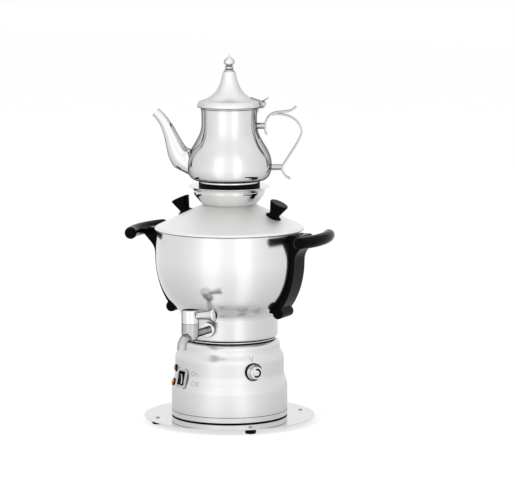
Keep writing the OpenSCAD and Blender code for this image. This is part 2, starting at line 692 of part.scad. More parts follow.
gland_flange_d = 23;
gland_out = 7;
gland_in = 14;
module on_gland() on_wall(180, radius_at(base_outline, gland_z), gland_z) children();
module cable_gland() color(black) difference() {
    on_gland() {
        translate([0, 0, -gland_in]) cylinder(d = gland_d, h = gland_in + 1);
        difference() {
            translate([0, 0, -2]) spun([[0, 0], [gland_flange_d / 2, 0], [gland_flange_d / 2, 4.5],
                [gland_d / 2, gland_out + 2], [0, gland_out + 2]]);
            translate([0, 0, -4]) cylinder(d = 2 * gland_flange_d, h = 0.5);
        }
    }
    on_gland() translate([0, 0, -gland_in - 1]) cylinder(d = gland_bore, h = gland_in + gland_out + 3);
    difference() {
        core(base_outline);
        on_gland() translate([0, 0, -gland_in - 1]) cylinder(d = gland_d, h = gland_in + 10);
    }
}
gland_nut_h = 5;
module gland_nut() color(black) difference() {
    on_gland() translate([0, 0, -base_t - gland_nut_h - 0.9]) difference() {
        hex(21, gland_nut_h + 2);
        translate([0, 0, -1]) cylinder(d = gland_d + 2 * run, h = gland_nut_h + 4);
    }
    difference() {
        translate([0, 0, shell_z]) cylinder(r = base_r + 20, h = base_top - shell_z);
        core(inset(base_outline, base_t));
    }
}

terminal_y = 48;
terminal_w = 46;
terminal_pitch = 36;
module on_base_plate(x, y) translate([x, y, base_z + plate_t]) children();
module terminal_block() color([0.9, 0.88, 0.8]) on_base_plate(0, terminal_y) difference() {
    union() {
        translate([-terminal_w / 2, -9, 0]) cube([terminal_w, 18, 9]);
        for (x = [-12, 0, 12]) translate([x - 4.5, -9, 9]) cube([9, 18, 8]);
    }
    for (x = [-1, 1]) translate([x * terminal_pitch / 2, 0, -1]) cylinder(d = 3.4, h = 12);
    for (x = [-12, 0, 12]) translate([x, -10, 12]) rotate([-90, 0, 0]) cylinder(d = 4, h = 20);
}

// ---------- tap ----------
tap_r = tap_d / 2;
tap_gap = 0.3;
tap_body_top = tap_z + tap_r + 6.75;
tap_dome_z = tap_z + 3;
tap_ring_t = 4.5;
tap_seal_t = 1.5;
outlet_z = tap_z - 2.5;
outlet_end_z = outlet_z - outlet_bend - 1.5;
head_z = tap_body_top + tap_gap;
head_top = head_z + tap_head_h;
plug_r = plug_d / 2;
plug_stem_r = 4.5;
plug_bottom = tap_z - 7;
water_d = 8;
neck_out_r = plug_r + 2.5;
neck_h = 6;
plug_top = tap_body_top + 3;
module on_tap() translate([0, -tap_reach, 0]) children();

// The ring and the seal are hollowed to the vessel's round foot
module tap_wall_ring() color(bright) difference() {
    on_wall(0, foot_r, tap_z) translate([0, 0, tap_seal_t - 1.5]) difference() {
        spun([[tap_stem_d / 2 + run, 0], [tap_ring_d / 2, 0], [tap_ring_d / 2, tap_ring_t],
            [tap_ring_d / 2 - 2, tap_ring_t + 1.5], [tap_stem_d / 2 + run, tap_ring_t + 1.5]]);
    }
    cylinder(r = foot_r + tap_seal_t, h = rim_z, $fn = 360);
}
module tap_seals() color(black) {
    difference() {
        intersection() {
            on_wall(0, foot_r, tap_z) translate([0, 0, -3]) tube(tap_ring_d - 1, tap_stem_d + 2 * run, 8);
            cylinder(r = foot_r + tap_seal_t - 0.02, h = rim_z, $fn = 360);
        }
        cylinder(r = foot_r, h = rim_z, $fn = 360);
    }
    difference() {
        intersection() {
            on_wall(0, foot_r, tap_z) translate([0, 0, -vessel_t - 4]) tube(tap_ring_d - 3, tap_stem_d + 2 * run, 8);
            cylinder(r = foot_r - vessel_t, h = rim_z, $fn = 360);
        }
    }
    on_tap() translate([0, 0, plug_top]) tube(2 * plug_r, 2 * plug_stem_r + 2 * run, neck_h - 3);
}
inner_nut_h = 6;
module tap_inner_nut() color([0.75, 0.62, 0.35]) on_wall(0, foot_r, tap_z)
    translate([0, 0, -vessel_t - 4 - inner_nut_h]) difference() {
        hex(tap_stem_d + 8, inner_nut_h);
        translate([0, 0, -1]) cylinder(d = tap_stem_d + 2 * run, h = inner_nut_h + 2);
    }
tap_outline = concat(
    oval([0, tap_dome_z], tap_r, tap_r, -90, 0, 10),
    [[tap_r, tap_body_top], [neck_out_r, tap_body_top], [neck_out_r, tap_body_top + neck_h], [0, tap_body_top + neck_h]]
);
stem_in = 14;
module tap_waterway(d) {
    translate([0, 0, outlet_z]) rotate([90, 0, 0]) cylinder(d = d, h = outlet_run + bend_into);
    translate([0, -outlet_run, outlet_z - outlet_bend]) rotate([0, 0, 180]) rotate([90, 0, 90])
        rotate_extrude(angle = 90) translate([outlet_bend, 0]) circle(d = d - bend_slim);
    translate([0, -outlet_run - outlet_bend, outlet_end_z])
        cylinder(d = d, h = outlet_z - outlet_bend - outlet_end_z + bend_into);
}
outlet_run = 17;
module tap_body() color(bright) on_tap() difference() {
    union() {
        spun(tap_outline);
        translate([0, 0, tap_z]) rotate([-90, 0, 0]) cylinder(d = tap_stem_d, h = tap_reach - foot_r + stem_in);
        tap_waterway(outlet_d);
    }
    translate([0, 0, plug_bottom - 0.3]) cylinder(r = plug_r + run, h = tap_body_top - plug_bottom + 10);
    translate([0, 0, tap_z]) rotate([-90, 0, 0]) cylinder(d = water_d, h = tap_reach);
    tap_waterway(outlet_d - 5);
    translate([0, -outlet_run - outlet_bend, outlet_end_z - 1]) cylinder(d = outlet_d - 5, h = 3);
}
gland_nut_z = tap_body_top + 0.4;
module tap_gland_nut() color(steel) on_tap() difference() {
    translate([0, 0, gland_nut_z]) hex(2 * neck_out_r + 1, neck_h + 2);
    translate([0, 0, gland_nut_z - 1]) cylinder(r = neck_out_r + run, h = neck_h + 1 - 0.4);
    cylinder(r = plug_stem_r + run, h = head_top);
}
plug_stem_top = tap_body_top + 14;
// The water hole through the plug lies across the waterway while the lever points sideways
module tap_plug() color([0.75, 0.62, 0.35]) on_tap() difference() {
    spun([[0, plug_bottom], [plug_r, plug_bottom], [plug_r, plug_top], [plug_stem_r, plug_top],
        [plug_stem_r, plug_stem_top], [0, plug_stem_top]]);
    translate([-tap_r, 0, tap_z - 1.2]) rotate([0, 90, 0]) cylinder(d = water_d, h = tap_d);
    translate([0, 0, plug_stem_top - 5]) cylinder(d = 4, h = 6);
}
head_cavity_r = tap_r - 1.6;
head_cavity_z = gland_nut_z + neck_h + 2 + tap_gap;
cap_t = 1.4;
screw_seat_z = plug_stem_top + 0.5;
module tap_head() color(bright) on_tap() difference() {
    spun([[0, head_z], [tap_r, head_z], [tap_r, head_top - 0.8], [tap_r - 0.8, head_top], [0, head_top]]);
    translate([0, 0, head_z - 1]) cylinder(r = head_cavity_r, h = head_cavity_z - head_z + 1);
    cylinder(r = plug_stem_r + run, h = plug_stem_top + run);
    cylinder(d = 4 + loose, h = head_top);
    translate([0, 0, screw_seat_z]) cylinder(d = 8.6, h = 20);
    translate([0, 0, head_top - cap_t]) cylinder(r = tap_r - 1.8 + run, h = 5);
    on_lever() translate([0, 0, tap_r - 7]) cylinder(d = 6 + 2 * run, h = 12);
}
module tap_head_screw() color(steel) on_tap() translate([0, 0, screw_seat_z]) pan_screw(4, 5, 1.8);
module tap_cap() color(bright) on_tap() translate([0, 0, head_top - cap_t])
    spun([[0, 0], [tap_r - 1.8, 0], [tap_r - 1.8, cap_t], [0, cap_t + 0.8]]);
lever_z = head_z + tap_head_h / 2 + 0.3;
module on_lever() translate([0, 0, lever_z]) rotate([0, 90 - lever_rise, 0]) children();
lever_len = lever_reach / cos(lever_rise);
lever_r = lever_d / 2;
lever_end_r = lever_end_d / 2;
module tap_lever() color(bright) on_tap() difference() {
    union() {
        on_lever() spun(concat(
            [[0, 6], [lever_r, 6]],
            bez([lever_r, tap_r + 1], [lever_r + 0.5, tap_r + 12], [lever_end_r - 3.5, lever_len - 12],
                [lever_end_r - 0.5, lever_len - 4], 8),
            oval([lever_end_r - 2, lever_len - 2], 2, 2, -15, 60, 4),
            [[0, lever_len + 0.6]]
        ));
    }
    difference() {
        cylinder(r = tap_r, h = head_top + 20);
        on_lever() translate([0, 0, tap_r - 6.5]) cylinder(d = 6, h = 12);
    }
    on_lever() cylinder(r = 20, h = tap_r - 6.5);
}

// ---------- side handles ----------
grip_z = rim_z - 9.5;
handle_top = rim_z - rim_t - 0.9;
arm_top = grip_z + 4;
// Outer face of the bracket: an oval round the bowl, then a hollow sweep out to the arm
bracket_c = bowl_c;
bracket_a = bowl_round + bracket_t;
bracket_b = bowl_deep + 13;
bracket_end = -48;
arm_root = grip_r - grip_d / 2 - 6;
scroll_at = [foot_r + 19, floor_z + 46.5];
bracket_side = concat(
    [[bowl_c[0], handle_top], [bowl_r + 18, handle_top], [bowl_r + 22, arm_top], [grip_r, arm_top],
        [grip_r, arm_top - arm_t]],
    bez([arm_root, arm_top - arm_t], [arm_root - 10, arm_top - arm_t - 12],
        [bracket_c[0] + bracket_a, bracket_c[1] + 18], [bracket_c[0] + bracket_a, bracket_c[1]], 8),
    oval(bracket_c, bracket_a, bracket_b, 0, bracket_end, 8, 1),
    [[scroll_at[0], scroll_at[1]], [foot_r - 10, scroll_at[1]], [foot_r - 10, bowl_c[1]]]
);
grip_end_r = grip_d / 2 - 0.1;
module grip_end() spun(concat([[0, -1], [grip_end_r, -1]], oval([0, 0], grip_end_r, grip_end_r, 0, 90, 8)));
module handle() difference() {
    union() {
        translate([0, bracket_w / 2, 0]) rotate([90, 0, 0]) linear_extrude(bracket_w) polygon(bracket_side);
        translate([scroll_at[0], scroll_w / 2, scroll_at[1]]) rotate([90, 0, 0]) cylinder(d = scroll_d, h = scroll_w);
        translate([scroll_at[0] - 6.5, bracket_w / 2, scroll_at[1] + 6.5]) rotate([90, 0, 0])
            cylinder(d = scroll_d - 3, h = bracket_w);
        translate([0, 0, grip_z]) {
            rotate([0, 0, -grip_half]) rotate_extrude(angle = 2 * grip_half) translate([grip_r, 0]) circle(d = grip_d);
            for (s = [-1, 1]) rotate([0, 0, s * grip_half]) translate([grip_r, 0, 0]) rotate([-s * 90, 0, 0]) grip_end();
        }
    }
    core(vessel_outline);
    for (z = screw_levels) handle_screw_at(z) translate([0, 0, -2]) cylinder(d = handle_screw_d + 2 * run, h = screw_grip + 2.3);
}
module handle_right() color(black) handle();
module handle_left() color(black) mirror([1, 0, 0]) handle();

screw_levels = [floor_z + 78, rim_z - 22];
screw_grip = 5.5;
module handle_screw_at(z) translate([radius_at(vessel_outline, z), 0, z])
    rotate([0, 90 + lean_at(vessel_outline, z), 0]) children();
module at_handle_screws() for (m = [0, 1]) mirror([m, 0, 0]) for (z = screw_levels) handle_screw_at(z) children();
module handle_screws() color(steel) at_handle_screws() {
    translate([0, 0, -vessel_t - 1]) cylinder(d = handle_screw_d, h = vessel_t + 1 + screw_grip);
    translate([0, 0, -vessel_t - 3.4]) cylinder(d = 10, h = 3.2);
}

// ---------- vessel lid and pot rest ----------
lid_r = lid_d / 2;
cone_r = lid_r - 2.9;
cone_z = rim_z + 4.5;
function cone_at(r) = cone_z + (cone_r - r) * tan(lid_slope);
rest_base_r = rest_base_d / 2;
crown_z = cone_at(rest_base_r + 1) + 0.5;
lid_outline = [
    [lid_r, rim_z], [lid_r, rim_z + 1], [lid_r - 0.8, rim_z + 2.1], [cone_r, cone_z],
    [rest_base_r + 1, cone_at(rest_base_r + 1)], [rest_base_r - 0.5, crown_z], [steam_d / 2, crown_z]
];
lid_skirt_r = mouth_r - 0.6;
module vessel_lid() color(steel) difference() {
    union() {
        spun(wall(lid_outline, lid_t));
        translate([0, 0, rim_z]) tube(2 * (lid_r - lid_t / 2), 2 * (lid_skirt_r - lid_t), lid_t);
        translate([0, 0, rim_z - lid_skirt_h]) tube(2 * lid_skirt_r, 2 * (lid_skirt_r - lid_t), lid_skirt_h + lid_t);
    }
    at_knobs() translate([0, 0, -6]) cylinder(d = knob_screw_d + loose, h = 12);
}

rest_top = crown_z + rest_h;
rest_neck_r = rest_neck_d / 2;
rest_r = rest_d / 2;
saucer_t = 1;
rest_outline = concat(
    [[steam_d / 2, crown_z]],
    bez([rest_base_r, crown_z], [rest_base_r + 6.5, crown_z + 6], [rest_neck_r - 1.5, crown_z + 15],
        [rest_neck_r, crown_z + 24], 8),
    bez([rest_neck_r, crown_z + 24], [rest_neck_r + 0.5, crown_z + 28], [rest_neck_r + 3.5, rest_top - 1.6],
        [rest_r, rest_top - 0.8], 5, 1)
);
// A spun bowl, closed above by a flat saucer that carries the seat ring
module pot_rest() color(bright) {
    spun(wall(rest_outline, rest_t));
    translate([0, 0, rest_top - saucer_t]) spun([
        [seat_in_r, 0], [rest_r - 0.6, 0], [rest_r, 0.5], [rest_r, saucer_t - 0.2],
        [rest_r - 0.6, saucer_t + 0.1], [seat_d / 2 + 1, saucer_t], [seat_in_r, saucer_t]
    ]);
}

// The seat ring lies on the saucer, and its inner lip holds the teapot's foot in place
seat_in_r = seat_d / 2 - 8;
spigot_out_r = pot_foot_d / 2 - 2;
module pot_seat_ring() color(black) translate([0, 0, rest_top]) spun([
    [seat_in_r, 0], [seat_d / 2, 0], [seat_d / 2, seat_h - 0.4], [seat_d / 2 - 0.4, seat_h],
    [spigot_out_r + slack, seat_h], [spigot_out_r + slack, 2.5], [seat_in_r, 2.5]
]);

knob_screw_d = 5;
knob_screw_in = 11;
knob_edge = 1.6;
module at_knob() translate([knob_ring_r, 0, cone_at(knob_ring_r)]) rotate([0, lid_slope, 0]) children();
module at_knobs() for (m = [0, 1]) mirror([m, 0, 0]) at_knob() children();
knob_outline = concat(
    [[knob_base_d / 2, -1.5], [knob_base_d / 2, knob_edge]],
    bez([knob_base_d / 2, knob_edge], [knob_base_d / 2 - 2, knob_edge + 1], [knob_waist_d / 2, knob_waist_h - 2.2],
        [knob_waist_d / 2, knob_waist_h], 6, 1),
    oval([knob_d / 2 - 1.6, knob_h - 1.6], 1.6, 1.6, -10, 90, 5),
    [[0, knob_h]]
);
module lid_knob() difference() {
    at_knob() difference() {
        filled(knob_outline);
        translate([0, 0, -3]) cylinder(d = knob_screw_d + 2 * run, h = knob_screw_in + 5);
    }
    core(lid_outline);
}
module lid_knob_right() color(black) lid_knob();
module lid_knob_left() color(black) mirror([1, 0, 0]) lid_knob();
module knob_screws() color(steel) at_knobs() translate([0, 0, -lid_t - 0.25]) mirror([0, 0, 1]) {
    translate([0, 0, -lid_t - knob_screw_in]) cylinder(d = knob_screw_d, h = lid_t + knob_screw_in);
    cylinder(d = 10, h = 2.6);
}

// ---------- teapot ----------
seat_top = rest_top + seat_h;
pot_z = seat_top + pot_foot_h;
pot_r = pot_d / 2;
pot_neck_r = pot_neck_d / 2;
pot_foot_r = pot_foot_d / 2;
pot_rim_z = pot_z + pot_h;
belly_z = pot_z + pot_belly_h;
neck_from = pot_z + pot_neck_z;
pot_outline = concat(
    [[0, pot_z]],
    bez([pot_foot_r, pot_z], [pot_foot_r + 18, pot_z + 0.5], [pot_r, belly_z - 13], [pot_r, belly_z], 8),
    bez([pot_r, belly_z], [pot_r, belly_z + 29], [pot_neck_r + 2, neck_from - 28], [pot_neck_r, neck_from], 12, 1),
    bez([pot_neck_r, neck_from], [pot_neck_r - 0.4, neck_from + 14], [pot_neck_r, pot_rim_z - 8],
        [pot_neck_r + 1.6, pot_rim_z - 2], 5, 1)
);
pot_rim_r = pot_neck_r + 2.6;
module on_pot() rotate([0, 0, pot_turn]) children();

module teapot_foot() color(bright) spun([
    [spigot_out_r - 2.2, seat_top - 2.8], [spigot_out_r, seat_top - 2.8], [spigot_out_r, seat_top],
    [pot_foot_r - 0.3, seat_top], [pot_foot_r - 0.3, pot_z], [spigot_out_r - 2.2, pot_z]
]);

strainer_hole = 3.2;
strainer_pitch = 5.6;
module teapot_body() color(bright) on_pot() difference() {
    union() {
        spun(wall(pot_outline, pot_t));
        translate([0, 0, pot_rim_z - 2]) tube(2 * pot_rim_r, 2 * pot_neck_r, 2);
    }
    // A pattern of small holes strains the tea where the spout begins
    for (i = [-2:2], j = [-2:2]) if (abs(i) + abs(j) < 4)
        translate([-pot_r - 5, i * strainer_pitch, spout_root_z + j * strainer_pitch]) rotate([0, 90, 0])
            cylinder(d = strainer_hole, h = 30);
}

// The spout is a bent tapering tube whose root follows the body's round wall
spout_root_z = belly_z + 4;
spout_tip = [-pot_r - 54.3, pot_rim_z - 8.3];
spout_mid = [-pot_r - 18.4, pot_rim_z - 39.8];
spout_low = [-pot_r - 26.7, spout_root_z + 8.7];
spout_root = [-pot_r + 3.3, spout_root_z + 2.6];
spout_wall = 1.2;
spout_steps = 18;
spout_sides = 28;
spout_end = 0.86;
function spout_at(t) = bez_at(spout_tip, spout_mid, spout_low, spout_root, t);
function spout_dir(t) = unit(spout_at(min(1, t + 0.01)) - spout_at(max(0, t - 0.01)));
function spout_r(t) = (spout_tip_d + (spout_root_d - spout_tip_d) * pow(t / spout_end, 1.5)) / 2;
function spout_ring(t, thin) =
    ring_points(spout_at(t), spout_r(t) - thin, spout_dir(t), 1 - 0.16 * t, spout_sides);
// The last ring stands upright and is carried along the X axis to the body's wall
function on_body(p) = let (r = radius_at(pot_outline, p[2])) [-sqrt(r * r - p[1] * p[1]) - 0.02, p[1], p[2]];
function spout_last(thin) = [for (p = ring_points([0, spout_root_z], spout_r(spout_end) - thin, [1, 0],
    1 - 0.16 * spout_end, spout_sides)) on_body(p)];
module teapot_spout() color(bright) on_pot() loft_loop(concat(
    [for (i = [0:spout_steps - 1]) spout_ring(i / (spout_steps - 1) * spout_end, 0)],
    [spout_last(0), spout_last(spout_wall)],
    [for (i = [spout_steps - 1:-1:0]) spout_ring(i / (spout_steps - 1) * spout_end, spout_wall)]
));

// Handle: an upper scroll and a loop of flat strap, carried by two short ferrules
upper_ferrule_z = neck_from - 1.4;
lower_ferrule_z = belly_z - 4.7;
strap_x = pot_neck_r + 14;
loop_x = pot_r + 52;
loop_top_z = pot_rim_z - 11;
lower_x = pot_r + 18.5;
upper_scroll = concat(
    bez([strap_x + 3.5, upper_ferrule_z - 14.5], [strap_x - 0.5, upper_ferrule_z - 13],
        [strap_x, upper_ferrule_z - 6], [strap_x, upper_ferrule_z], 5),
    bez([strap_x, upper_ferrule_z], [strap_x, upper_ferrule_z + 12], [strap_x + 8, loop_top_z],
        [strap_x + 20, loop_top_z + 1.5], 8, 1),
    bez([strap_x + 20, loop_top_z + 1.5], [strap_x + 34, loop_top_z + 3.5], [strap_x + 46, loop_top_z + 1],
        [strap_x + 54, loop_top_z + 12], 8, 1)
);
loop_line = concat(
    bez([strap_x + 12, loop_top_z - 2.6], [strap_x + 26, loop_top_z + 1.4], [loop_x - 3, loop_top_z - 5],
        [loop_x, loop_top_z - 32], 10),
    bez([loop_x, loop_top_z - 32], [loop_x, loop_top_z - 44], [lower_x + 12, lower_ferrule_z + 22],
        [lower_x, lower_ferrule_z + 2], 10, 1),
    bez([lower_x, lower_ferrule_z + 2], [lower_x - 3, lower_ferrule_z - 6], [lower_x + 4, lower_ferrule_z - 17],
        [lower_x + 14, lower_ferrule_z - 20], 6, 1)
);
module strap(line) translate([0, strap_w / 2, 0]) rotate([90, 0, 0]) linear_extrude(strap_w)
    polygon(band(line, strap_t));
module teapot_handle() color(bright) on_pot() {
    strap(upper_scroll);
    strap(loop_line);
}
module teapot_ferrules() color(bright) on_pot() difference() {
    union() {
        translate([pot_neck_r - 4, 0, upper_ferrule_z]) rotate([0, 90, 0])
            cylinder(d = ferrule_d, h = strap_x - pot_neck_r + 4);
        translate([pot_r - 6, 0, lower_ferrule_z]) rotate([0, 90, 0])
            cylinder(d = ferrule_d, h = lower_x - pot_r + 6);
    }
    core(pot_outline);
    strap(upper_scroll);
    strap(loop_line);
}

// ---------- teapot lid and hinge ----------
pot_lid_r = pot_lid_d / 2;
pot_lid_tip_r = pot_lid_tip_d / 2;
lid_base_z = pot_rim_z;
lid_tip_z = lid_base_z + pot_lid_h;
shoulder_end = [pot_lid_r - 6.5, lid_base_z + 11];
pot_lid_outline = concat(
    [[pot_lid_r, lid_base_z]],
    bez([pot_lid_r, lid_base_z + 1.6], [pot_lid_r, lid_base_z + 6], [pot_lid_r - 2.6, lid_base_z + 10],
        shoulder_end, 5),
    bez(shoulder_end, shoulder_end + [-22, 5.5], [pot_lid_tip_r + 4.8, lid_base_z + 31],
        [pot_lid_tip_r, lid_tip_z], 14, 1),
    [[2.2, lid_tip_z]]
);
pin_x = pot_lid_r + 4;
pin_z = lid_base_z + 5.4;
leaf_w = 15;
leaf_t = 1.4;
knuckle_w = 5;
plug_skirt_r = pot_neck_r - pot_t - 1.2;
module on_pin() translate([pin_x, 0, pin_z]) rotate([90, 0, 0]) children();
module knuckle(w) on_pin() translate([0, 0, -w / 2]) cylinder(d = knuckle_d, h = w);
module hinge_bore() on_pin() translate([0, 0, -20]) cylinder(d = hinge_pin_d + 2 * run, h = 40);

module teapot_lid() color(bright) on_pot() difference() {
    union() {
        spun(wall(pot_lid_outline, pot_t));
        translate([0, 0, lid_base_z]) tube(2 * pot_lid_r - 1, 2 * (plug_skirt_r - 1), 1);
        translate([0, 0, lid_base_z - 4]) tube(2 * plug_skirt_r, 2 * (plug_skirt_r - 1), 5);
        translate([0, 0, lid_tip_z - 3]) cylinder(r = pot_lid_tip_r - 0.6, h = 3);
    }
    translate([0, 0, lid_tip_z - 6]) cylinder(d = 4 + 2 * run, h = 10);
}

bulb_r = finial_d / 2;
finial_z = lid_tip_z;
finial_outline = concat(
    [[9, finial_z], [9, finial_z + 2], [6.6, finial_z + 3.2], [6.6, finial_z + 5]],
    [[7.8, finial_z + 6], [7.8, finial_z + 7.4], [5.6, finial_z + 9], [5.6, finial_z + 11]],
    bez([6.4, finial_z + 12], [bulb_r + 1, finial_z + 13.5], [bulb_r + 1, finial_z + 19],
        [bulb_r - 3.4, finial_z + 22], 6),
    bez([bulb_r - 3.4, finial_z + 22], [bulb_r - 6, finial_z + 24], [1.4, finial_z + 26],
        [0.8, finial_z + finial_h], 5, 1)
);
module teapot_finial() color(bright) on_pot() {
    filled(finial_outline);
    translate([0, 0, finial_z - 5]) cylinder(d = 4, h = 6);
}

// The fixed leaf rises from the neck and passes outside the lid's rim to the pin
leaf_low_z = pot_rim_z - 17;
module teapot_hinge_leaf() color(bright) on_pot() difference() {
    union() {
        translate([0, leaf_w / 2, 0]) rotate([90, 0, 0]) linear_extrude(leaf_w) polygon([
            [pot_neck_r - 3, leaf_low_z], [pot_neck_r + leaf_t, leaf_low_z],
            [pot_rim_r + leaf_t - 0.5, pot_rim_z - 3], [pin_x + 1, pot_rim_z - 1.5], [pin_x + 2.2, pin_z],
            [pin_x - 2.2, pin_z], [pin_x - 2.2, pot_rim_z + 1], [pot_rim_r - 3, pot_rim_z - 2.4]
        ]);
        knuckle(leaf_w);
    }
    knuckle_slot();
    hinge_bore();
    core(pot_outline);
    cylinder(r = pot_rim_r, h = pot_rim_z, $fn = 360);
    translate([0, 0, pot_rim_z - 0.5]) cylinder(r = pot_lid_r + slack, h = 8, $fn = 360);
}
// Room between the fixed knuckles for the lid's knuckle
module knuckle_slot() on_pin() translate([0, 0, -knuckle_w / 2 - slack])
    cylinder(d = knuckle_d + 1.2, h = knuckle_w + 2 * slack);

module teapot_hinge_pin() color(steel) on_pot() on_pin() {
    translate([0, 0, -leaf_w / 2 - 0.2]) cylinder(d = hinge_pin_d, h = leaf_w + 0.4);
    for (s = [-1, 1]) translate([0, 0, s * (leaf_w / 2 + 0.6) - 0.6]) cylinder(d = hinge_pin_d + 2, h = 1.2);
}

// The lid's leaf lies on the lid, bridges to the pin and ends in a curled thumb-piece
thumb_line = bez([pin_x - 5, pin_z + 3.8], [pin_x, pin_z + 6.5], [pin_x + 5, pin_z + 5.5], [pin_x + 8, pin_z + 11.5], 8);
leaf_line = concat(
    [for (r = [pot_lid_r - 19:3:pot_lid_r - 7]) [r, lid_height(r) + leaf_t / 2]],
    [[pot_lid_r - 4, lid_height(pot_lid_r - 4) + leaf_t], [pin_x - 4, pin_z + 3.4], [pin_x, pin_z + knuckle_d / 2 - leaf_t / 2]]
);
function lid_height(r) = lookup(-r, [for (p = pot_lid_outline) [-p[0], p[1]]]);
module teapot_lid_leaf() color(bright) on_pot() difference() {
    union() {
        translate([0, 4.5, 0]) rotate([90, 0, 0]) linear_extrude(9) polygon(band(reversed(leaf_line), leaf_t + 0.6));
        translate([0, 4.5, 0]) rotate([90, 0, 0]) linear_extrude(9) polygon(band(thumb_line, leaf_t));
        knuckle(knuckle_w);
    }
    hinge_bore();
    core(pot_lid_outline);
    difference() {
        on_pin() translate([0, 0, -20]) cylinder(d = knuckle_d + 1, h = 40);
        on_pin() translate([0, 0, -knuckle_w / 2]) cylinder(d = knuckle_d + 2, h = knuckle_w);
    }
}

// ---------- the whole samovar ----------
tray();
tray_feet();
foot_screws();
base_gasket();
base_ring();
base_plate();
plate_screws();
base_shell();
tie_rods();
tie_nuts();
neck_seals();
neck_ring();
vessel();
heater_element();
heater_seals();
heater_nuts();
thermostat_bulb();
thermostat_body();
thermostat_bezel();
thermostat_shaft();
thermostat_knob();
safety_cutout();
switch_frame();
switch_body();
switch_rocker();
lamp_red();
lamp_amber();
lamp_bezels();
cable_gland();
gland_nut();
terminal_block();
tap_wall_ring();
tap_seals();
tap_inner_nut();
tap_body();
tap_gland_nut();
tap_plug();
tap_head();
tap_head_screw();
tap_cap();
tap_lever();
handle_left();
handle_right();
handle_screws();
vessel_lid();
pot_rest();
pot_seat_ring();
lid_knob_left();
lid_knob_right();
knob_screws();
teapot_foot();
teapot_body();
teapot_spout();
teapot_handle();
teapot_ferrules();
teapot_hinge_leaf();
teapot_hinge_pin();
teapot_lid();
teapot_lid_leaf();
teapot_finial();
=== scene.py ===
"""The looks of the electric samovar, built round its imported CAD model. Metres, in the CAD's own frame."""

import math

import bmesh
import bpy
from mathutils import Matrix, Vector


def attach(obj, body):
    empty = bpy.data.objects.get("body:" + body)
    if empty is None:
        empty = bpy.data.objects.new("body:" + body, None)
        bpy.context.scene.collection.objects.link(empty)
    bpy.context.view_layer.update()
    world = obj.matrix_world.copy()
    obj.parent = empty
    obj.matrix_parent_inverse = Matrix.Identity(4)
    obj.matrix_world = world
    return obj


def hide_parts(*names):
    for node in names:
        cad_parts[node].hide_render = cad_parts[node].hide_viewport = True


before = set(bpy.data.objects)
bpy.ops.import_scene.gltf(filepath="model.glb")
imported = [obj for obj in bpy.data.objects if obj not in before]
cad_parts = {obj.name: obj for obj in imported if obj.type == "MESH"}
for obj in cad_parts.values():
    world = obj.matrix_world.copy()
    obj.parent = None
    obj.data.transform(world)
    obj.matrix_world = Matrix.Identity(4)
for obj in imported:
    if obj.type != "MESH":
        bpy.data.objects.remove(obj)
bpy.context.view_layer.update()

# ---------- studio ----------
# A pale floor under a white tent. The tent's brightness changes slowly round the camera's side, so that
# polished steel shows long upright gradients, and two soft windows light only what isn't a mirror.
# The camera stands to the right of the tap, about 5.4 m away, and looks slightly down.
mm = 0.001
camera_turn = math.radians(26.0)
eye = Vector((2.354, -4.8265, 1.034))
middle = Vector((0, 0, 0.330))
aim_right, aim_down = 0.04918, 0.009625
look = (middle - eye).normalized()
side = look.cross(Vector((0, 0, 1))).normalized()
upright = side.cross(look)


def placed(name, data, at=None):
    """Puts an object in the scene, at a place if one is given."""
    made = bpy.data.objects.new(name, data)
    bpy.context.scene.collection.objects.link(made)
    if at is not None:
        made.matrix_world = at
    return made


def aimed(name, data, spot, target):
    """Puts a camera or a lamp at a spot and turns it to its target."""
    made = placed(name, data)
    made.location = spot
    made.rotation_euler = (target - Vector(spot)).to_track_quat("-Z", "Y").to_euler()
    return made


camera_data = bpy.data.cameras.new("camera")
camera_data.sensor_width = 36
camera_data.lens = 216.33
camera_data.clip_end = 60
aim = middle + side * aim_right - upright * aim_down
bpy.context.scene.camera = aimed("camera", camera_data, eye, aim)
bpy.context.scene.view_settings.view_transform = "Standard"


def emptied(block):
    """The node tree of a material or a world, cleared for its own nodes."""
    block.use_nodes = True
    block.node_tree.nodes.clear()
    return block.node_tree


def wired(tree, kind, inputs=(), **settings):
    """Adds a shader node. Each input is (socket, value or the output that feeds it)."""
    made = tree.nodes.new("ShaderNode" + kind)
    for key, value in settings.items():
        setattr(made, key, value)
    for socket, value in inputs:
        if isinstance(value, bpy.types.NodeSocket):
            tree.links.new(value, made.inputs[socket])
        else:
            made.inputs[socket].default_value = value
    return made


def sums(tree, operation, *values):
    """One step of arithmetic, as the output of a Math node."""
    return wired(tree, "Math", list(enumerate(values)), operation=operation).outputs[0]


def ramp(tree, value, low, high):
    """Goes softly from 0 to 1 while the value goes from low to high."""
    return wired(tree, "MapRange", [("Value", value), ("From Min", low), ("From Max", high)],
                 interpolation_type="SMOOTHSTEP").outputs[0]


def curved(tree, value, points):
    """A value read off a smooth curve through the given points."""
    made = wired(tree, "FloatCurve", [("Value", value)])
    line = made.mapping.curves[0]
    line.points[0].location, line.points[1].location = points[0], points[-1]
    for at in points[1:-1]:
        line.points.new(*at)
    for point in line.points:
        point.handle_type = "AUTO_CLAMPED"
    made.mapping.update()
    return made.outputs[0]


def group_of(name, takes, gives):
    """An empty shader group: takes is (name, default) pairs, and gives is the names of its values."""
    made = bpy.data.node_groups.new(name, "ShaderNodeTree")
    for label, value in takes:
        kind = "NodeSocketVector" if isinstance(value, tuple) else "NodeSocketFloat"
        made.interface.new_socket(label, in_out="INPUT", socket_type=kind).default_value = value
    for label in gives:
        made.interface.new_socket(label, in_out="OUTPUT", socket_type="NodeSocketFloat")
    return made, made.nodes.new("NodeGroupInput").outputs, made.nodes.new("NodeGroupOutput").inputs


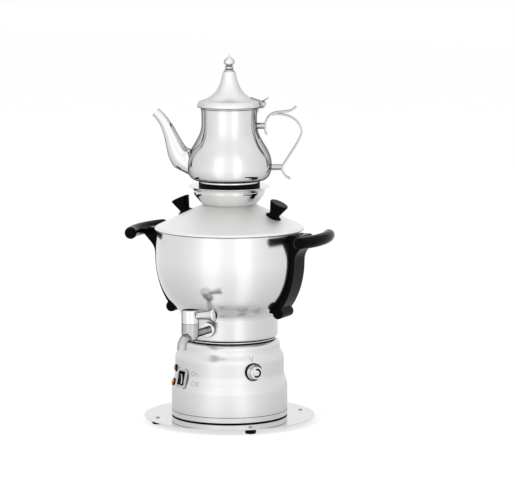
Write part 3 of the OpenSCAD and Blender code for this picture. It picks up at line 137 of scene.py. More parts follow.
# Brightness of the tent by the angle from the camera's side, as (degrees, brightness / 2)
tent_round = [
    (-180, 0.52), (-150, 0.52), (-100, 0.53), (-75, 0.56), (-50, 0.64), (-27, 0.80), (-8, 0.71), (5, 0.70),
    (19, 0.84), (40, 0.66), (70, 0.56), (98, 0.53), (150, 0.52), (180, 0.52)
]
tent_glow, given, out = group_of("tent_glow", [("Direction", (0.0, 0.0, 0.0))], ["Glow"])
along_x, along_y, _ = wired(tent_glow, "SeparateXYZ", [(0, given["Direction"])]).outputs
ahead = sums(tent_glow, "SUBTRACT", sums(tent_glow, "MULTIPLY", along_x, math.sin(camera_turn)),
             sums(tent_glow, "MULTIPLY", along_y, math.cos(camera_turn)))
aside = sums(tent_glow, "ADD", sums(tent_glow, "MULTIPLY", along_x, math.cos(camera_turn)),
             sums(tent_glow, "MULTIPLY", along_y, math.sin(camera_turn)))
share = sums(tent_glow, "DIVIDE", sums(tent_glow, "ARCTAN2", aside, ahead), 2 * math.pi)
tent_points = [(degrees / 360 + 0.5, half_bright) for degrees, half_bright in tent_round]
half_glow = curved(tent_glow, sums(tent_glow, "ADD", share, 0.5), tent_points)
tent_glow.links.new(sums(tent_glow, "MULTIPLY", half_glow, 2.0), out["Glow"])

world = bpy.data.worlds.new("white_tent")
bpy.context.scene.world = world
tree = emptied(world)
direction = wired(tree, "TexCoord").outputs["Generated"]
around = wired(tree, "Group", [("Direction", direction)], node_tree=tent_glow).outputs[0]
height = wired(tree, "SeparateXYZ", [(0, direction)]).outputs[2]
overhead = ramp(tree, height, 0.35, 0.95)
tent = wired(tree, "Mix", [("Factor", overhead), ("A", around), ("B", 1.25)]).outputs[0]
path = wired(tree, "LightPath")
mirrored = wired(tree, "Mix", [("Factor", path.outputs["Is Glossy Ray"]), ("A", 0.62),
                 ("B", tent)]).outputs[0]
plain = sums(tree, "MAXIMUM", path.outputs["Is Camera Ray"], path.outputs["Is Transmission Ray"])
seen = wired(tree, "Mix", [("Factor", plain), ("A", mirrored), ("B", 1.0)]).outputs[0]
light = wired(tree, "Background", [("Color", (1, 1, 1, 1)), ("Strength", seen)])
wired(tree, "OutputWorld", [("Surface", light.outputs[0])])

for lamp_name, spot, size, watts in (
    ("window_left", (-1.6, -2.6, 2.2), 1.6, 34),
    ("window_right", (3.0, -1.2, 1.9), 1.4, 18),
):
    lamp_data = bpy.data.lights.new(lamp_name, "AREA")
    lamp_data.size = size
    lamp_data.energy = watts
    aimed(lamp_name, lamp_data, spot, Vector((0, 0, 0.3))).visible_glossy = False

floor_mesh = bpy.data.meshes.new("floor")
floor_mesh.from_pydata([(-9, -9, 0), (9, -9, 0), (9, 9, 0), (-9, 9, 0)], [], [(0, 1, 2, 3)])
placed("floor", floor_mesh)
paper = bpy.data.materials.new("white_paper")
tree = emptied(paper)
path = wired(tree, "LightPath")
spot = wired(tree, "NewGeometry").outputs["Position"]
watched = sums(tree, "MAXIMUM", path.outputs["Is Camera Ray"], path.outputs["Is Transmission Ray"])
soft = wired(tree, "BsdfDiffuse", [
    ("Color", sums(tree, "SUBTRACT", 0.86, sums(tree, "MULTIPLY", watched, 0.36)))])
glow = wired(tree, "Emission", [("Color", (1, 1, 1, 1)),
             ("Strength", sums(tree, "MULTIPLY", watched, 0.68))])
near = wired(tree, "AddShader", [(0, soft.outputs[0]), (1, glow.outputs[0])])
around = wired(tree, "Group", [("Direction", spot)], node_tree=tent_glow).outputs[0]
reach = wired(tree, "VectorMath", [(0, spot)], operation="LENGTH").outputs["Value"]
sweep_up = wired(tree, "MapRange", [
    ("Value", sums(tree, "LOGARITHM", reach, 10.0)), ("From Min", -0.7), ("From Max", 0.32),
    ("To Min", 0.74), ("To Max", 1.0)]).outputs[0]
far = wired(tree, "Emission", [("Color", (1, 1, 1, 1)),
            ("Strength", sums(tree, "MULTIPLY", around, sweep_up))])
away = ramp(tree, reach, 0.10, 0.22)
both = wired(tree, "MixShader", [
    ("Fac", sums(tree, "MULTIPLY", away, path.outputs["Is Glossy Ray"])),
    (1, near.outputs[0]), (2, far.outputs[0])])
wired(tree, "OutputMaterial", [("Surface", both.outputs[0])])
floor_mesh.materials.append(paper)

# A pair of tall narrow black cards above the lid's height, seen only as dark lines in the teapot's steel
card_r, card_half, card_low, card_high = 0.42, 2.5, 0.41, 1.3
card_black = bpy.data.materials.new("card_black")
tree = emptied(card_black)
felt = wired(tree, "BsdfDiffuse", [("Color", (0.01, 0.01, 0.01, 1))])
wired(tree, "OutputMaterial", [("Surface", felt.outputs[0])])
for number, turned_by in enumerate((-116, 116)):
    edges = [camera_turn + math.radians(turned_by + d) for d in (-card_half, card_half)]
    foot_left, foot_right = [(card_r * math.sin(t), -card_r * math.cos(t)) for t in edges]
    card_mesh = bpy.data.meshes.new(f"card_{number + 1}")
    card_mesh.from_pydata([(*foot_left, card_low), (*foot_right, card_low), (*foot_right, card_high),
                           (*foot_left, card_high)], [], [(0, 1, 2, 3)])
    card_mesh.materials.append(card_black)
    card = placed(f"card_{number + 1}", card_mesh)
    card.visible_camera = card.visible_diffuse = card.visible_transmission = card.visible_shadow = False


# ---------- tray ----------
# A flat round plate of polished stainless steel, 1.2 mm thick, with its edge rounded over on the lathe.
# The feet are screwed on from above near the edge, and the base stands on its middle.
def point_on(ends, t):
    """A point of the cubic curve with these four control points."""
    u = 1 - t
    w = (u * u * u, 3 * u * u * t, 3 * u * t * t, t * t * t)
    return tuple(sum(k * p[j] for k, p in zip(w, ends)) for j in (0, 1))


def curve(a, b, c, d, n=20, first=0):
    """Points of a cubic curve from a to d, drawn towards b and c."""
    return [point_on((a, b, c, d), i / n) for i in range(first, n + 1)]


def oval(centre, a, b, start, end, n=16, first=0):
    """Part of an upright oval with the half axes a and b."""
    angles = [math.radians(start + (end - start) * i / n) for i in range(first, n + 1)]
    return [(centre[0] + a * math.cos(t), centre[1] + b * math.sin(t)) for t in angles]


def eased(outline, steps=5, hold=0.25):
    """Rounds each corner that names a radius, as (r, z, radius), and holds the flats beside it."""
    made = []
    for i, p in enumerate(outline):
        if len(p) < 3:
            made.append((p[0], p[1]))
            continue
        corner = Vector(p[:2])
        a = Vector(outline[i - 1][:2]) - corner
        b = Vector(outline[(i + 1) % len(outline)][:2]) - corner
        half = a.angle(b) / 2
        reach = min(p[2] / math.tan(half), 0.45 * a.length, 0.45 * b.length)
        radius = reach * math.tan(half)
        centre = corner + (a.normalized() + b.normalized()).normalized() * (radius / math.sin(half))
        start, end = corner + a.normalized() * reach, corner + b.normalized() * reach
        if a.length > 2.5 * (reach + hold):
            made.append(tuple(start + a.normalized() * hold))
        from_, to = (math.atan2(q.y - centre.y, q.x - centre.x) for q in (start, end))
        sweep = (to - from_ + math.pi) % (2 * math.pi) - math.pi
        made += [(centre.x + radius * math.cos(from_ + sweep * k / steps),
                  centre.y + radius * math.sin(from_ + sweep * k / steps)) for k in range(steps + 1)]
        if b.length > 2.5 * (reach + hold):
            made.append(tuple(end + b.normalized() * hold))
    return made


def shaped(bm, keen=32):
    """Closes a mesh off: outward faces, smooth shading, and sharp edges where it turns by more than keen."""
    bmesh.ops.remove_doubles(bm, verts=bm.verts, dist=1e-7)
    bmesh.ops.recalc_face_normals(bm, faces=bm.faces)
    for face in bm.faces:
        face.smooth = True
    made = bpy.data.meshes.new("turned")
    bm.to_mesh(made)
    bm.free()
    made.set_sharp_from_angle(angle=math.radians(keen))
    return made


def turned(outline, steps=160):
    """A body of revolution round its own Z axis, from a closed outline in millimetres."""
    bm = bmesh.new()
    spokes = [(math.cos(2 * math.pi * i / steps), math.sin(2 * math.pi * i / steps)) for i in range(steps)]
    rings = []
    for r, z in outline:
        if r < 1e-5:
            rings.append([bm.verts.new((0, 0, z * mm))] * steps)
        else:
            rings.append([bm.verts.new((r * mm * c, r * mm * s, z * mm)) for c, s in spokes])
    for a, b in zip(rings, rings[1:] + rings[:1]):
        for i in range(steps):
            j = (i + 1) % steps
            corners = list(dict.fromkeys((a[i], a[j], b[j], b[i])))
            if len(corners) > 2:
                bm.faces.new(corners)
    return shaped(bm)


def piece(name, mesh, body, slot, material, *nodes, place=None):
    """Puts a finished mesh in its place, on its CAD body, in place of the CAD nodes that it stands for."""
    made = placed(name, mesh, place)
    mesh.name = name
    mesh.materials.clear()
    mesh.materials.append(material)
    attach(made, body)
    if nodes:
        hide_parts(*nodes)
    return made


def noise(tree, vector, scale, detail, roughness=0.5, distortion=0.0):
    """Soft random blotches, as the output of a Noise Texture node."""
    return wired(tree, "TexNoise", [("Vector", vector), ("Scale", scale), ("Detail", detail),
                                    ("Roughness", roughness), ("Distortion", distortion)]).outputs[0]


def own_place(tree):
    """Where a point lies in its own piece."""
    return wired(tree, "TexCoord").outputs["Object"]


# Fine rings left by the spinning tool: they follow the radius and the height, not the angle
spun_grain, given, out = group_of("spun_grain", [("Rings per metre", 900.0), ("Waver", 8.0)],
                                  ["Height", "Tone"])
x, y, z = wired(spun_grain, "SeparateXYZ", [(0, own_place(spun_grain))]).outputs
radius = sums(spun_grain, "SQRT", sums(spun_grain, "ADD", sums(spun_grain, "POWER", x, 2.0),
                                       sums(spun_grain, "POWER", y, 2.0)))
rings = wired(spun_grain, "CombineXYZ", [
    ("X", sums(spun_grain, "MULTIPLY", radius, given["Rings per metre"])),
    ("Y", sums(spun_grain, "MULTIPLY", z, given["Rings per metre"])),
    ("Z", sums(spun_grain, "MULTIPLY", sums(spun_grain, "ADD", x, y), given["Waver"]))]).outputs[0]
spun_grain.links.new(noise(spun_grain, rings, 1.0, 3.0, 0.6), out["Height"])
broad = wired(spun_grain, "VectorMath", [(0, rings), ("Scale", 0.12)], operation="SCALE").outputs[0]
spun_grain.links.new(noise(spun_grain, broad, 1.0, 2.0), out["Tone"])

# Wiped smears and a few hairlines from cleaning, as masks from 0 to 1
handling_marks, given, out = group_of("handling_marks", [("Smear size", 22.0), ("Hairlines", 0.3)],
                                      ["Smear", "Hairline"])
where = own_place(handling_marks)
cloud = noise(handling_marks, where, given["Smear size"], 5.0, 0.55, 0.8)
handling_marks.links.new(ramp(handling_marks, cloud, 0.42, 0.72), out["Smear"])
drawn = wired(handling_marks, "Mapping", [("Vector", where), ("Rotation", (0.5, 0.3, 0.9)),
                                          ("Scale", (700.0, 26.0, 300.0))]).outputs[0]
thin = ramp(handling_marks, noise(handling_marks, drawn, 1.0, 1.0), 0.66, 0.74)
handling_marks.links.new(sums(handling_marks, "MULTIPLY", thin, given["Hairlines"]), out["Hairline"])


def grouped(tree, group, **values):
    """Places a shader group in a material, with its own values."""
    made = wired(tree, "Group", node_tree=group)
    for label, value in values.items():
        made.inputs[label.replace("_", " ")].default_value = value
    return made.outputs


def ranged(tree, value, low, high):
    """Spreads a mask from 0 to 1 over the range low to high."""
    return wired(tree, "MapRange", [("Value", value), ("To Min", low),
                 ("To Max", high)]).outputs[0]


def mixed(tree, mask, first, second):
    """A mix of two colours, of which the first may be an output. Their sockets on the node are 6 and 7."""
    first = first if isinstance(first, bpy.types.NodeSocket) else (*first, 1)
    return wired(tree, "Mix", [(0, mask), (6, first), (7, (*second, 1))], data_type="RGBA").outputs[2]


# Painted shade in a seam or groove, as a mask over a range of heights that fades out over a short fringe
fringe = 0.3 * mm
painted_shade_band, given, out = group_of("painted_shade_band", [("Low", 0.0), ("High", 0.0)], ["Mask"])
level = wired(painted_shade_band, "SeparateXYZ", [(0, own_place(painted_shade_band))]).outputs[2]
rising = ramp(painted_shade_band, level, sums(painted_shade_band, "SUBTRACT", given["Low"], fringe), given["Low"])
ending = ramp(painted_shade_band, level, given["High"], sums(painted_shade_band, "ADD", given["High"], fringe))
painted_shade_band.links.new(sums(painted_shade_band, "SUBTRACT", rising, ending), out["Mask"])


def metal(name, bright, dull, rings, roughness, bump, anisotropy=0.0, smear=22.0, hairlines=0.3, seams=(),
          edge=1.0):
    """A worked metal with ring grain, smears and hairlines. Roughness is (least, most, more in smears), and
    seams are bands of painted shade, as (low, high, depth) in millimetres. Edge tints what it reflects at a
    glancing angle."""
    made = bpy.data.materials.new(name)
    tree = emptied(made)
    grain = grouped(tree, spun_grain, Rings_per_metre=rings)
    marks = grouped(tree, handling_marks, Smear_size=smear, Hairlines=hairlines)
    tone = sums(tree, "ADD", sums(tree, "MULTIPLY", grain["Tone"], 0.6),
                sums(tree, "MULTIPLY", marks["Smear"], 0.4))
    colour = mixed(tree, tone, bright, dull)
    for low, high, depth in seams:
        line = grouped(tree, painted_shade_band, Low=low * mm, High=high * mm)["Mask"]
        colour = mixed(tree, sums(tree, "MULTIPLY", line, depth), colour, (0.02, 0.02, 0.02))
    least, most, smeared = roughness
    rough = sums(tree, "ADD", ranged(tree, grain["Height"], least, most),
                 sums(tree, "ADD", sums(tree, "MULTIPLY", marks["Smear"], smeared),
                      sums(tree, "MULTIPLY", marks["Hairline"], 0.08)))
    relief = wired(tree, "Bump", [("Height", grain["Height"]), ("Strength", bump),
                   ("Distance", 0.00002)])
    shader = wired(tree, "BsdfPrincipled", [
        ("Base Color", colour), ("Metallic", 1.0), ("Roughness", rough), ("Normal", relief.outputs[0]),
        ("Anisotropic", anisotropy), ("Specular Tint", (edge, edge, edge, 1))])
    wired(tree, "OutputMaterial", [("Surface", shader.outputs[0])])
    return made


def steel(name, bright, dull, *worked_to, **more):
    """Stainless steel, which is a touch warmer than the grey levels bright and dull."""
    warm = 0.005
    return metal(name, (bright, bright, bright - warm), (dull, dull, dull - warm), *worked_to, **more)


polished_steel = steel("polished_steel", 0.65, 0.61, 700, (0.03, 0.06, 0.02), 0.06)
tray_r, tray_z, tray_top = 150, 9.4, 10.6
piece("tray_plate", turned(eased([(0, tray_z), (tray_r, tray_z, 0.55), (tray_r, tray_top, 0.55),
                                  (0, tray_top)]), 256),
      "samovar", "polished_steel", polished_steel, "tray")


# ---------- tray feet ----------
# Four moulded feet of soft black rubber under the tray's edge, with a rounded lower rim and a hollow
# round the screw's end. A pan head steel screw with a cross slot holds each from above.
def at_rest(x, y, z=0.0, turn=0.0):
    """A place in millimetres, turned round Z by degrees."""
    return Matrix.Translation((x * mm, y * mm, z * mm)) @ Matrix.Rotation(math.radians(turn), 4, "Z")


def tipped(degrees, axis="Y"):
    """A turn about an axis."""
    return Matrix.Rotation(math.radians(degrees), 4, axis)


def in_ring(radius, degrees, z=0.0):
    """A place on a ring at an azimuth that is counted from the tap's side."""
    return tipped(degrees, "Z") @ at_rest(0, -radius, z)


def skinned(name, colour, second, roughness, bump, grain=420.0, specular=0.5, coat=0.0):
    """Moulded rubber or plastic: the mould's fine skin, with dust and a little wear in the tone."""
    made = bpy.data.materials.new(name)
    tree = emptied(made)
    skin = grouped(tree, moulding_skin, Grain=grain)
    colour = mixed(tree, skin["Dust"], colour, second)
    rough = ranged(tree, skin["Dust"], *roughness)
    relief = wired(tree, "Bump", [("Height", skin["Height"]), ("Strength", bump),
                   ("Distance", 0.0001)])
    shader = wired(tree, "BsdfPrincipled", [
        ("Base Color", colour), ("Roughness", rough), ("Normal", relief.outputs[0]),
        ("Specular IOR Level", specular), ("Coat Weight", coat), ("Coat Roughness", 0.06)])
    wired(tree, "OutputMaterial", [("Surface", shader.outputs[0])])
    return made


# The skin that a mould leaves, and where dust settles on it
moulding_skin, given, out = group_of("moulding_skin", [("Grain", 420.0), ("Dust size", 60.0)],
                                     ["Height", "Dust"])
where = own_place(moulding_skin)
moulding_skin.links.new(noise(moulding_skin, where, given["Grain"], 3.0), out["Height"])
settled = noise(moulding_skin, where, given["Dust size"], 6.0, 0.65)
dust = wired(moulding_skin, "MapRange", [("Value", settled), ("From Min", 0.4), ("From Max", 0.75)])
moulding_skin.links.new(dust.outputs[0], out["Dust"])

black_rubber = skinned("black_rubber", (0.003, 0.003, 0.003), (0.008, 0.008, 0.008), (0.55, 0.72), 0.35,
                       grain=900.0, specular=0.05)
plain_steel = metal("plain_steel", (0.62, 0.62, 0.61), (0.50, 0.50, 0.49), 2500, (0.22, 0.34, 0.06), 0.3,
                    hairlines=0.6)
screw_steel = metal("screw_steel", (0.34, 0.34, 0.34), (0.26, 0.26, 0.26), 2500, (0.22, 0.34, 0.06), 0.3)
foot_ring, foot_turn, foot_r, screw_r, slot_long, slot_wide = 131, 42, 9.5, 3.8, 3.4, 0.8
foot_outline = eased([(0, 2.2), (4.5, 2.2, 0.6), (5.2, 0.9, 0.5), (6.0, 0.0, 0.4), (foot_r, 0.0, 2.5),
                      (foot_r, tray_z - 0.8), (foot_r - 0.4, tray_z, 0.3), (0, tray_z)])
head_outline = ([(0, -1.2), (2, -1.2), (2, 0), (screw_r, 0)]
                + curve((screw_r, 0.1), (screw_r - 0.1, 1.1), (2.6, 1.7), (0, 1.75), 8))


def bar(width, length, low, high):
    """A plain block round the Z axis, in millimetres."""
    bm = bmesh.new()
    bmesh.ops.create_cube(bm, size=1.0)
    bmesh.ops.scale(bm, vec=(width * mm, length * mm, (high - low) * mm), verts=bm.verts)
    bmesh.ops.translate(bm, vec=(0, 0, (low + high) / 2 * mm), verts=bm.verts)
    return shaped(bm)


def finished(blank, *tools):
    """The mesh of a blank with its modifiers. The blank and the tools used on it are then thrown away."""
    bpy.context.view_layer.update()
    made = bpy.data.meshes.new_from_object(blank.evaluated_get(bpy.context.evaluated_depsgraph_get()))
    for other in (blank, *tools):
        bpy.data.objects.remove(other)
    return made


def worked(mesh, *steps):
    """Joins or cuts solids: each step is (operation, mesh, place or None). Gives one closed mesh."""
    whole = placed("blank", mesh)
    tools = []
    for operation, tool, place in steps:
        step = whole.modifiers.new("step", "BOOLEAN")
        step.operation = operation
        step.solver = "MANIFOLD"
        step.object = placed("tool", tool, place)
        tools.append(step.object)
    made = finished(whole, *tools)
    made.set_sharp_from_angle(angle=math.radians(32))
    return made


foot_mesh = turned(foot_outline, 64)
screw_mesh = worked(turned(head_outline, 40), ("DIFFERENCE", bar(slot_long, slot_wide, 0.7, 3.0), None),
                    ("DIFFERENCE", bar(slot_wide, slot_long, 0.7, 3.0), None))
for i in range(4):
    azimuth = foot_turn + 90 * i
    piece(f"foot_{i + 1}", foot_mesh.copy(), "samovar", "black_rubber", black_rubber, "tray_feet",
          place=in_ring(foot_ring, azimuth))
    piece(f"foot_screw_{i + 1}", screw_mesh.copy(), "samovar", "plain_steel", screw_steel, "foot_screws",
          place=in_ring(foot_ring, azimuth, tray_top) @ Matrix.Rotation(0.5 + 1.3 * i, 4, "Z"))

# ---------- ring between tray and base ----------
# A flat ring of black rubber that keeps the base off the tray and takes up the clamping force. It is cut
# a little smaller than the base.
base_z, base_r, gasket_in, gasket_r = 12.4, 101.8, 95, 101.4
piece("base_gasket_ring", turned(eased([(gasket_in, tray_top), (gasket_r, tray_top, 0.5),
                                        (gasket_r, base_z, 0.5), (gasket_in, base_z)]), 200),
      "samovar", "black_rubber", black_rubber, "base_gasket")


# ---------- base ----------
# A spun shell of satin stainless steel: a straight skirt, two soft steps in, a band for the controls and
# a rounded shoulder. It sits on a loose turned ring, with a fine groove between the two.
def inset(outline, t):
    """The same line moved to its left by t, which is inwards for a line that climbs."""
    made = []
    for i, p in enumerate(outline):
        a, b = outline[max(i - 1, 0)], outline[min(i + 1, len(outline) - 1)]
        run = math.hypot(b[0] - a[0], b[1] - a[1])
        made.append((max(0.0, p[0] - t * (b[1] - a[1]) / run), p[1] + t * (b[0] - a[0]) / run))
    return made


def wall(outline, t):
    """A closed wall of thickness t inside a line."""
    return list(outline) + inset(outline, t)[::-1]


def soft_step(p, q, n=28):
    """An S-shaped step between two upright walls."""
    half = (p[1] + q[1]) / 2
    return curve(p, (p[0], half), (q[0], half), q, n, 1)


def radius_at(outline, z):
    """Radius of a climbing line at a height."""
    for a, b in zip(outline, outline[1:]):
        if a[1] <= z <= b[1] and b[1] > a[1]:
            return a[0] + (b[0] - a[0]) * (z - a[1]) / (b[1] - a[1])
    return outline[-1][0]


def lean_at(outline, z):
    """Its lean there in degrees, positive where it widens upwards."""
    return math.degrees(math.atan((radius_at(outline, z + 2) - radius_at(outline, z - 2)) / 4))


def on_wall(azimuth, radius, z, tilt=0.0):
    """A place on an upright wall: +Z out of the wall, +Y up, tilted upwards by tilt degrees."""
    return in_ring(radius, azimuth, z) @ tipped(90 - tilt, "X")


def satin(name, *seams):
    """Satin stainless steel of the base, with its own bands of painted shade."""
    return steel(name, 0.71, 0.69, 1800, (0.28, 0.34, 0.02), 0.12, anisotropy=0.35, hairlines=0.1,
                 seams=seams)


shell_z, groove = 22.1, 0.9
skirt_z, band_z, band_top, neck_z, base_top = 60, 93, 112, 135, 146
# Painted shade: the shell is a little darker from just above the skirt up to its top, and the ring is dark
# in the fine groove below the shell.
satin_steel = satin("satin_steel", (skirt_z + 6, base_top + 4, 0.07))
ring_steel = satin("ring_steel", (shell_z - groove, shell_z + 0.2, 0.95))
band_r, neck_r, hatch_r, shoulder, ring_in = 95.6, 88.5, 59, 9, 87
base_line = (
    [(base_r, shell_z), (base_r, shell_z + 1), (base_r, skirt_z - 1), (base_r, skirt_z)]
    + soft_step((base_r, skirt_z), (band_r, band_z))
    + [(band_r, band_z + 1), (band_r, band_top - 1), (band_r, band_top)]
    + soft_step((band_r, band_top), (neck_r, neck_z), 22)
    + [(neck_r, base_top - shoulder - 0.5)]
    + oval((neck_r - shoulder, base_top - shoulder), shoulder, shoulder, 0, 90, 14)
    + [(neck_r - shoulder - 1, base_top), (hatch_r, base_top)]
)
ring_outline = eased([
    (base_r, base_z, 0.35), (base_r, shell_z - groove, 0.2), (base_r - groove, shell_z - groove),
    (base_r - groove, shell_z), (base_r - 1.1, shell_z), (base_r - 1.1, shell_z + 10),
    (base_r - 2.3, shell_z + 10), (base_r - 2.3, base_z + 2.4), (ring_in, base_z + 2.4), (ring_in, base_z)
])
piece("base_trim_ring", turned(ring_outline, 220), "samovar", "satin_steel", ring_steel, "base_ring")
dial_azimuth, dial_z, dial_hole_r = 51.5, 100.3, 5.5
switch_azimuth, switch_z, switch_tilt, switch_hole_wide, switch_hole_tall = -32.5, 83, 11.43, 19, 24.5
lamp_azimuth, red_z, amber_z, lamp_hole_r = -50, 97, 72.5, 5.2
gland_z, gland_hole_r = 46, 8.1


def on_shell(azimuth, z, tilt=0.0):
    """A place on the wall of the base."""
    return on_wall(azimuth, radius_at(base_line, z), z, tilt)


def rod(radius, low, high, steps=64):
    """A plain round bar on the Z axis."""
    return turned([(0, low), (radius, low), (radius, high), (0, high)], steps)


on_dial = on_shell(dial_azimuth, dial_z)
on_switch = on_shell(switch_azimuth, switch_z, switch_tilt)
on_lamps = [on_shell(lamp_azimuth, z, -lean_at(base_line, z)) for z in (red_z, amber_z)]
on_gland = on_shell(180, gland_z)
shell_mesh = worked(
    turned(wall(base_line, 1), 220),
    ("DIFFERENCE", bar(switch_hole_wide, switch_hole_tall, -8, 12), on_switch),
    ("DIFFERENCE", rod(dial_hole_r, -6, 6, 48), on_dial),
    ("DIFFERENCE", rod(gland_hole_r, -6, 6, 48), on_gland),
    *[("DIFFERENCE", rod(lamp_hole_r, -6, 6, 48), place) for place in on_lamps]
)
piece("base_shell_spun", shell_mesh, "samovar", "satin_steel", satin_steel, "base_shell")


# ---------- bottom plate and tie rods ----------
# A zinc plated plate closes the base from below with six screws. Three rods from the vessel's floor run
# down through base and tray, and their nuts under the tray clamp the whole.
def dressed(material, *nodes):
    """Gives CAD nodes that keep their own shape their finish."""
    for name in nodes:
        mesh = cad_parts[name].data
        mesh.materials.clear()
        mesh.materials.append(material)


dressed(plain_steel, "base_plate", "plate_screws", "tie_rods", "tie_nuts")

# ---------- seals and ring at the neck ----------
# Two black silicone seals with a turned, polished ring between them carry the vessel on the base. The
# ring stands out a little past the seals.
neck_ring_r, seal, floor_z = 81.3, 2.1, 152


def flat_ring(radius, low, high, ease):
    """A ring of the neck, 8 mm wide at its widest, with its outer edges eased."""
    return turned(eased([(neck_ring_r - 8, low), (radius, low, ease), (radius, high, ease),
                         (neck_ring_r - 8, high)]), 180)


for number, low in enumerate((base_top, floor_z - seal)):
    piece(f"neck_seal_{number + 1}", flat_ring(neck_ring_r - 0.8, low, low + seal, 0.4), "samovar",
          "black_rubber", black_rubber, "neck_seals")
piece("neck_ring_turned", flat_ring(neck_ring_r, base_top + seal, floor_z - seal, 0.5), "samovar",
      "polished_steel", polished_steel, "neck_ring")

# ---------- vessel ----------
# A deep bowl spun from 1 mm stainless sheet and polished, on a straight foot, with a turned-out rim that
# the lid lies on. A closed pocket welded into its floor takes the temperature bulb.
vessel_foot_h, vessel_foot_r, foot_edge = 34, 85, 3
bowl_r, bowl_round, bowl_deep, bowl_tall = 128.5, 64.5, 97, 182
# The straight foot under the bowl is painted a little darker, as shade.
vessel_steel = steel("vessel_steel", 0.68, 0.65, 1200, (0.15, 0.20, 0.03), 0.12, anisotropy=0.2,
                     seams=((floor_z, floor_z + vessel_foot_h, 0.08),))
bowl_c = (bowl_r - bowl_round, floor_z + 138)
join_angle = -50.6
join = math.radians(join_angle)
bowl_start = (bowl_c[0] + bowl_round * math.cos(join), bowl_c[1] + bowl_deep * math.sin(join))
tangent = Vector((-bowl_round * math.sin(join), bowl_deep * math.cos(join))).normalized()
rim_z, rim_thick, rim_wide = 339.5, 1.6, 3
rim_turn = math.degrees(math.asin((rim_z - bowl_c[1]) / bowl_tall))
vessel_line = (
    [(0, floor_z), (vessel_foot_r - foot_edge - 1, floor_z)]
    + oval((vessel_foot_r - foot_edge, floor_z + foot_edge), foot_edge, foot_edge, -90, 0, 8)
    + [(vessel_foot_r, floor_z + foot_edge + 1), (vessel_foot_r, floor_z + vessel_foot_h - 1)]
    + curve((vessel_foot_r, floor_z + vessel_foot_h), (vessel_foot_r, floor_z + 44),
            (bowl_start[0] - 12 * tangent.x, bowl_start[1] - 12 * tangent.y), bowl_start, 26)
    + oval(bowl_c, bowl_round, bowl_deep, join_angle, 0, 34, 1)
    + oval(bowl_c, bowl_round, bowl_tall, 0, rim_turn, 22, 1)
)
mouth_r = vessel_line[-1][0] - 1
rim_r = mouth_r + 1 + rim_wide
inner = inset(vessel_line, 1)
rim_outline = eased([vessel_line[-3], (mouth_r + 1, rim_z - rim_thick, 0.6),
                     (rim_r, rim_z - rim_thick, 0.7), (rim_r, rim_z, 0.7), (mouth_r, rim_z, 0.5), inner[-3]])
piece("vessel_spun", turned(vessel_line[:-2] + rim_outline[1:-1] + inner[:-2][::-1], 256),
      "samovar", "satin_steel", vessel_steel, "vessel")
pocket_r, pocket_top, pocket_x = 4.5, floor_z + 42, -16
piece("bulb_pocket", turned(eased([
    (pocket_r, floor_z + 0.5), (pocket_r, pocket_top, 2), (0, pocket_top), (0, pocket_top - 1),
    (pocket_r - 1, pocket_top - 1), (pocket_r - 1, floor_z + 0.5)]), 48),
    "samovar", "satin_steel", vessel_steel, place=at_rest(pocket_x, 0))

# ---------- heating ----------
# A bent tube heater, dulled by heat, is clamped in the floor with brass nuts on rubber seals. A bulb with
# a copper capillary feels the temperature from its pocket, and a cut-out under the floor guards it.
heater_steel = metal("heater_steel", (0.46, 0.44, 0.42), (0.30, 0.28, 0.26), 1200, (0.30, 0.42, 0.08), 0.4,
                     smear=60.0)
brass = metal("brass", (0.78, 0.60, 0.30), (0.62, 0.45, 0.20), 2200, (0.20, 0.30, 0.08), 0.3)
copper = metal("copper", (0.78, 0.46, 0.32), (0.60, 0.32, 0.20), 2200, (0.20, 0.30, 0.08), 0.3)
dark_housing = skinned("dark_housing", (0.05, 0.05, 0.055), (0.09, 0.09, 0.09), (0.45, 0.6), 0.3)
dressed(heater_steel, "heater_element")
dressed(black_rubber, "heater_seals")
dressed(brass, "heater_nuts")
dressed(copper, "thermostat_bulb")
dressed(dark_housing, "safety_cutout", "thermostat_body")

# ---------- thermostat ----------
# A bright plated knob stands in a black plastic ring on the band and turns on the thermostat's shaft. A
# black arc of painted shade is laid over the groove in its face, and a dull V marks the wall above it.
black_phenolic = skinned("black_phenolic", (0.002, 0.002, 0.002), (0.004, 0.004, 0.004), (0.08, 0.14),
                         0.08, grain=260.0, specular=0.03)
bright_plating = metal("bright_plating", (0.70, 0.70, 0.70), (0.64, 0.64, 0.64), 900, (0.12, 0.18, 0.03),
                       0.10, edge=0.2)
bezel_r, dial_r, dial_face, face_z, arc_r, arc_half = 15.65, 14, 11, 14.5, 6.4, 1.7
base_core = turned([(0, shell_z), *base_line, (0, base_top)], 220)
bezel_mesh = worked(turned(eased([
    (dial_hole_r, -3), (bezel_r, -3), (bezel_r, 3, 0.9), (dial_r + 0.6, 3, 0.4), (dial_r + 0.6, 2, 0.2),
    (dial_hole_r, 2)]), 96), ("DIFFERENCE", base_core.copy(), on_dial.inverted()))
piece("dial_ring", bezel_mesh, "samovar", "black_plastic", black_phenolic, "thermostat_bezel",
      place=on_dial)
knob_side = curve((dial_r, 3.9), (dial_r - 1.2, 7.3), (dial_face + 0.8, 9.5), (dial_face, 13.9), 12)
piece("dial_knob", turned(
    eased([(0, 2.3), (dial_r, 2.3, 0.3), knob_side[0]]) + knob_side[1:]
    + eased([knob_side[-1], (dial_face - 0.6, face_z, 0.4), (arc_r + 0.9, face_z, 0.3),
             (arc_r, face_z - 0.9, 0.2), (arc_r - 0.9, face_z, 0.3), (0, face_z)])[1:], 96),
    "thermostat_dial", "polished_steel", bright_plating, "thermostat_knob", place=on_dial)
dressed(plain_steel, "thermostat_shaft")


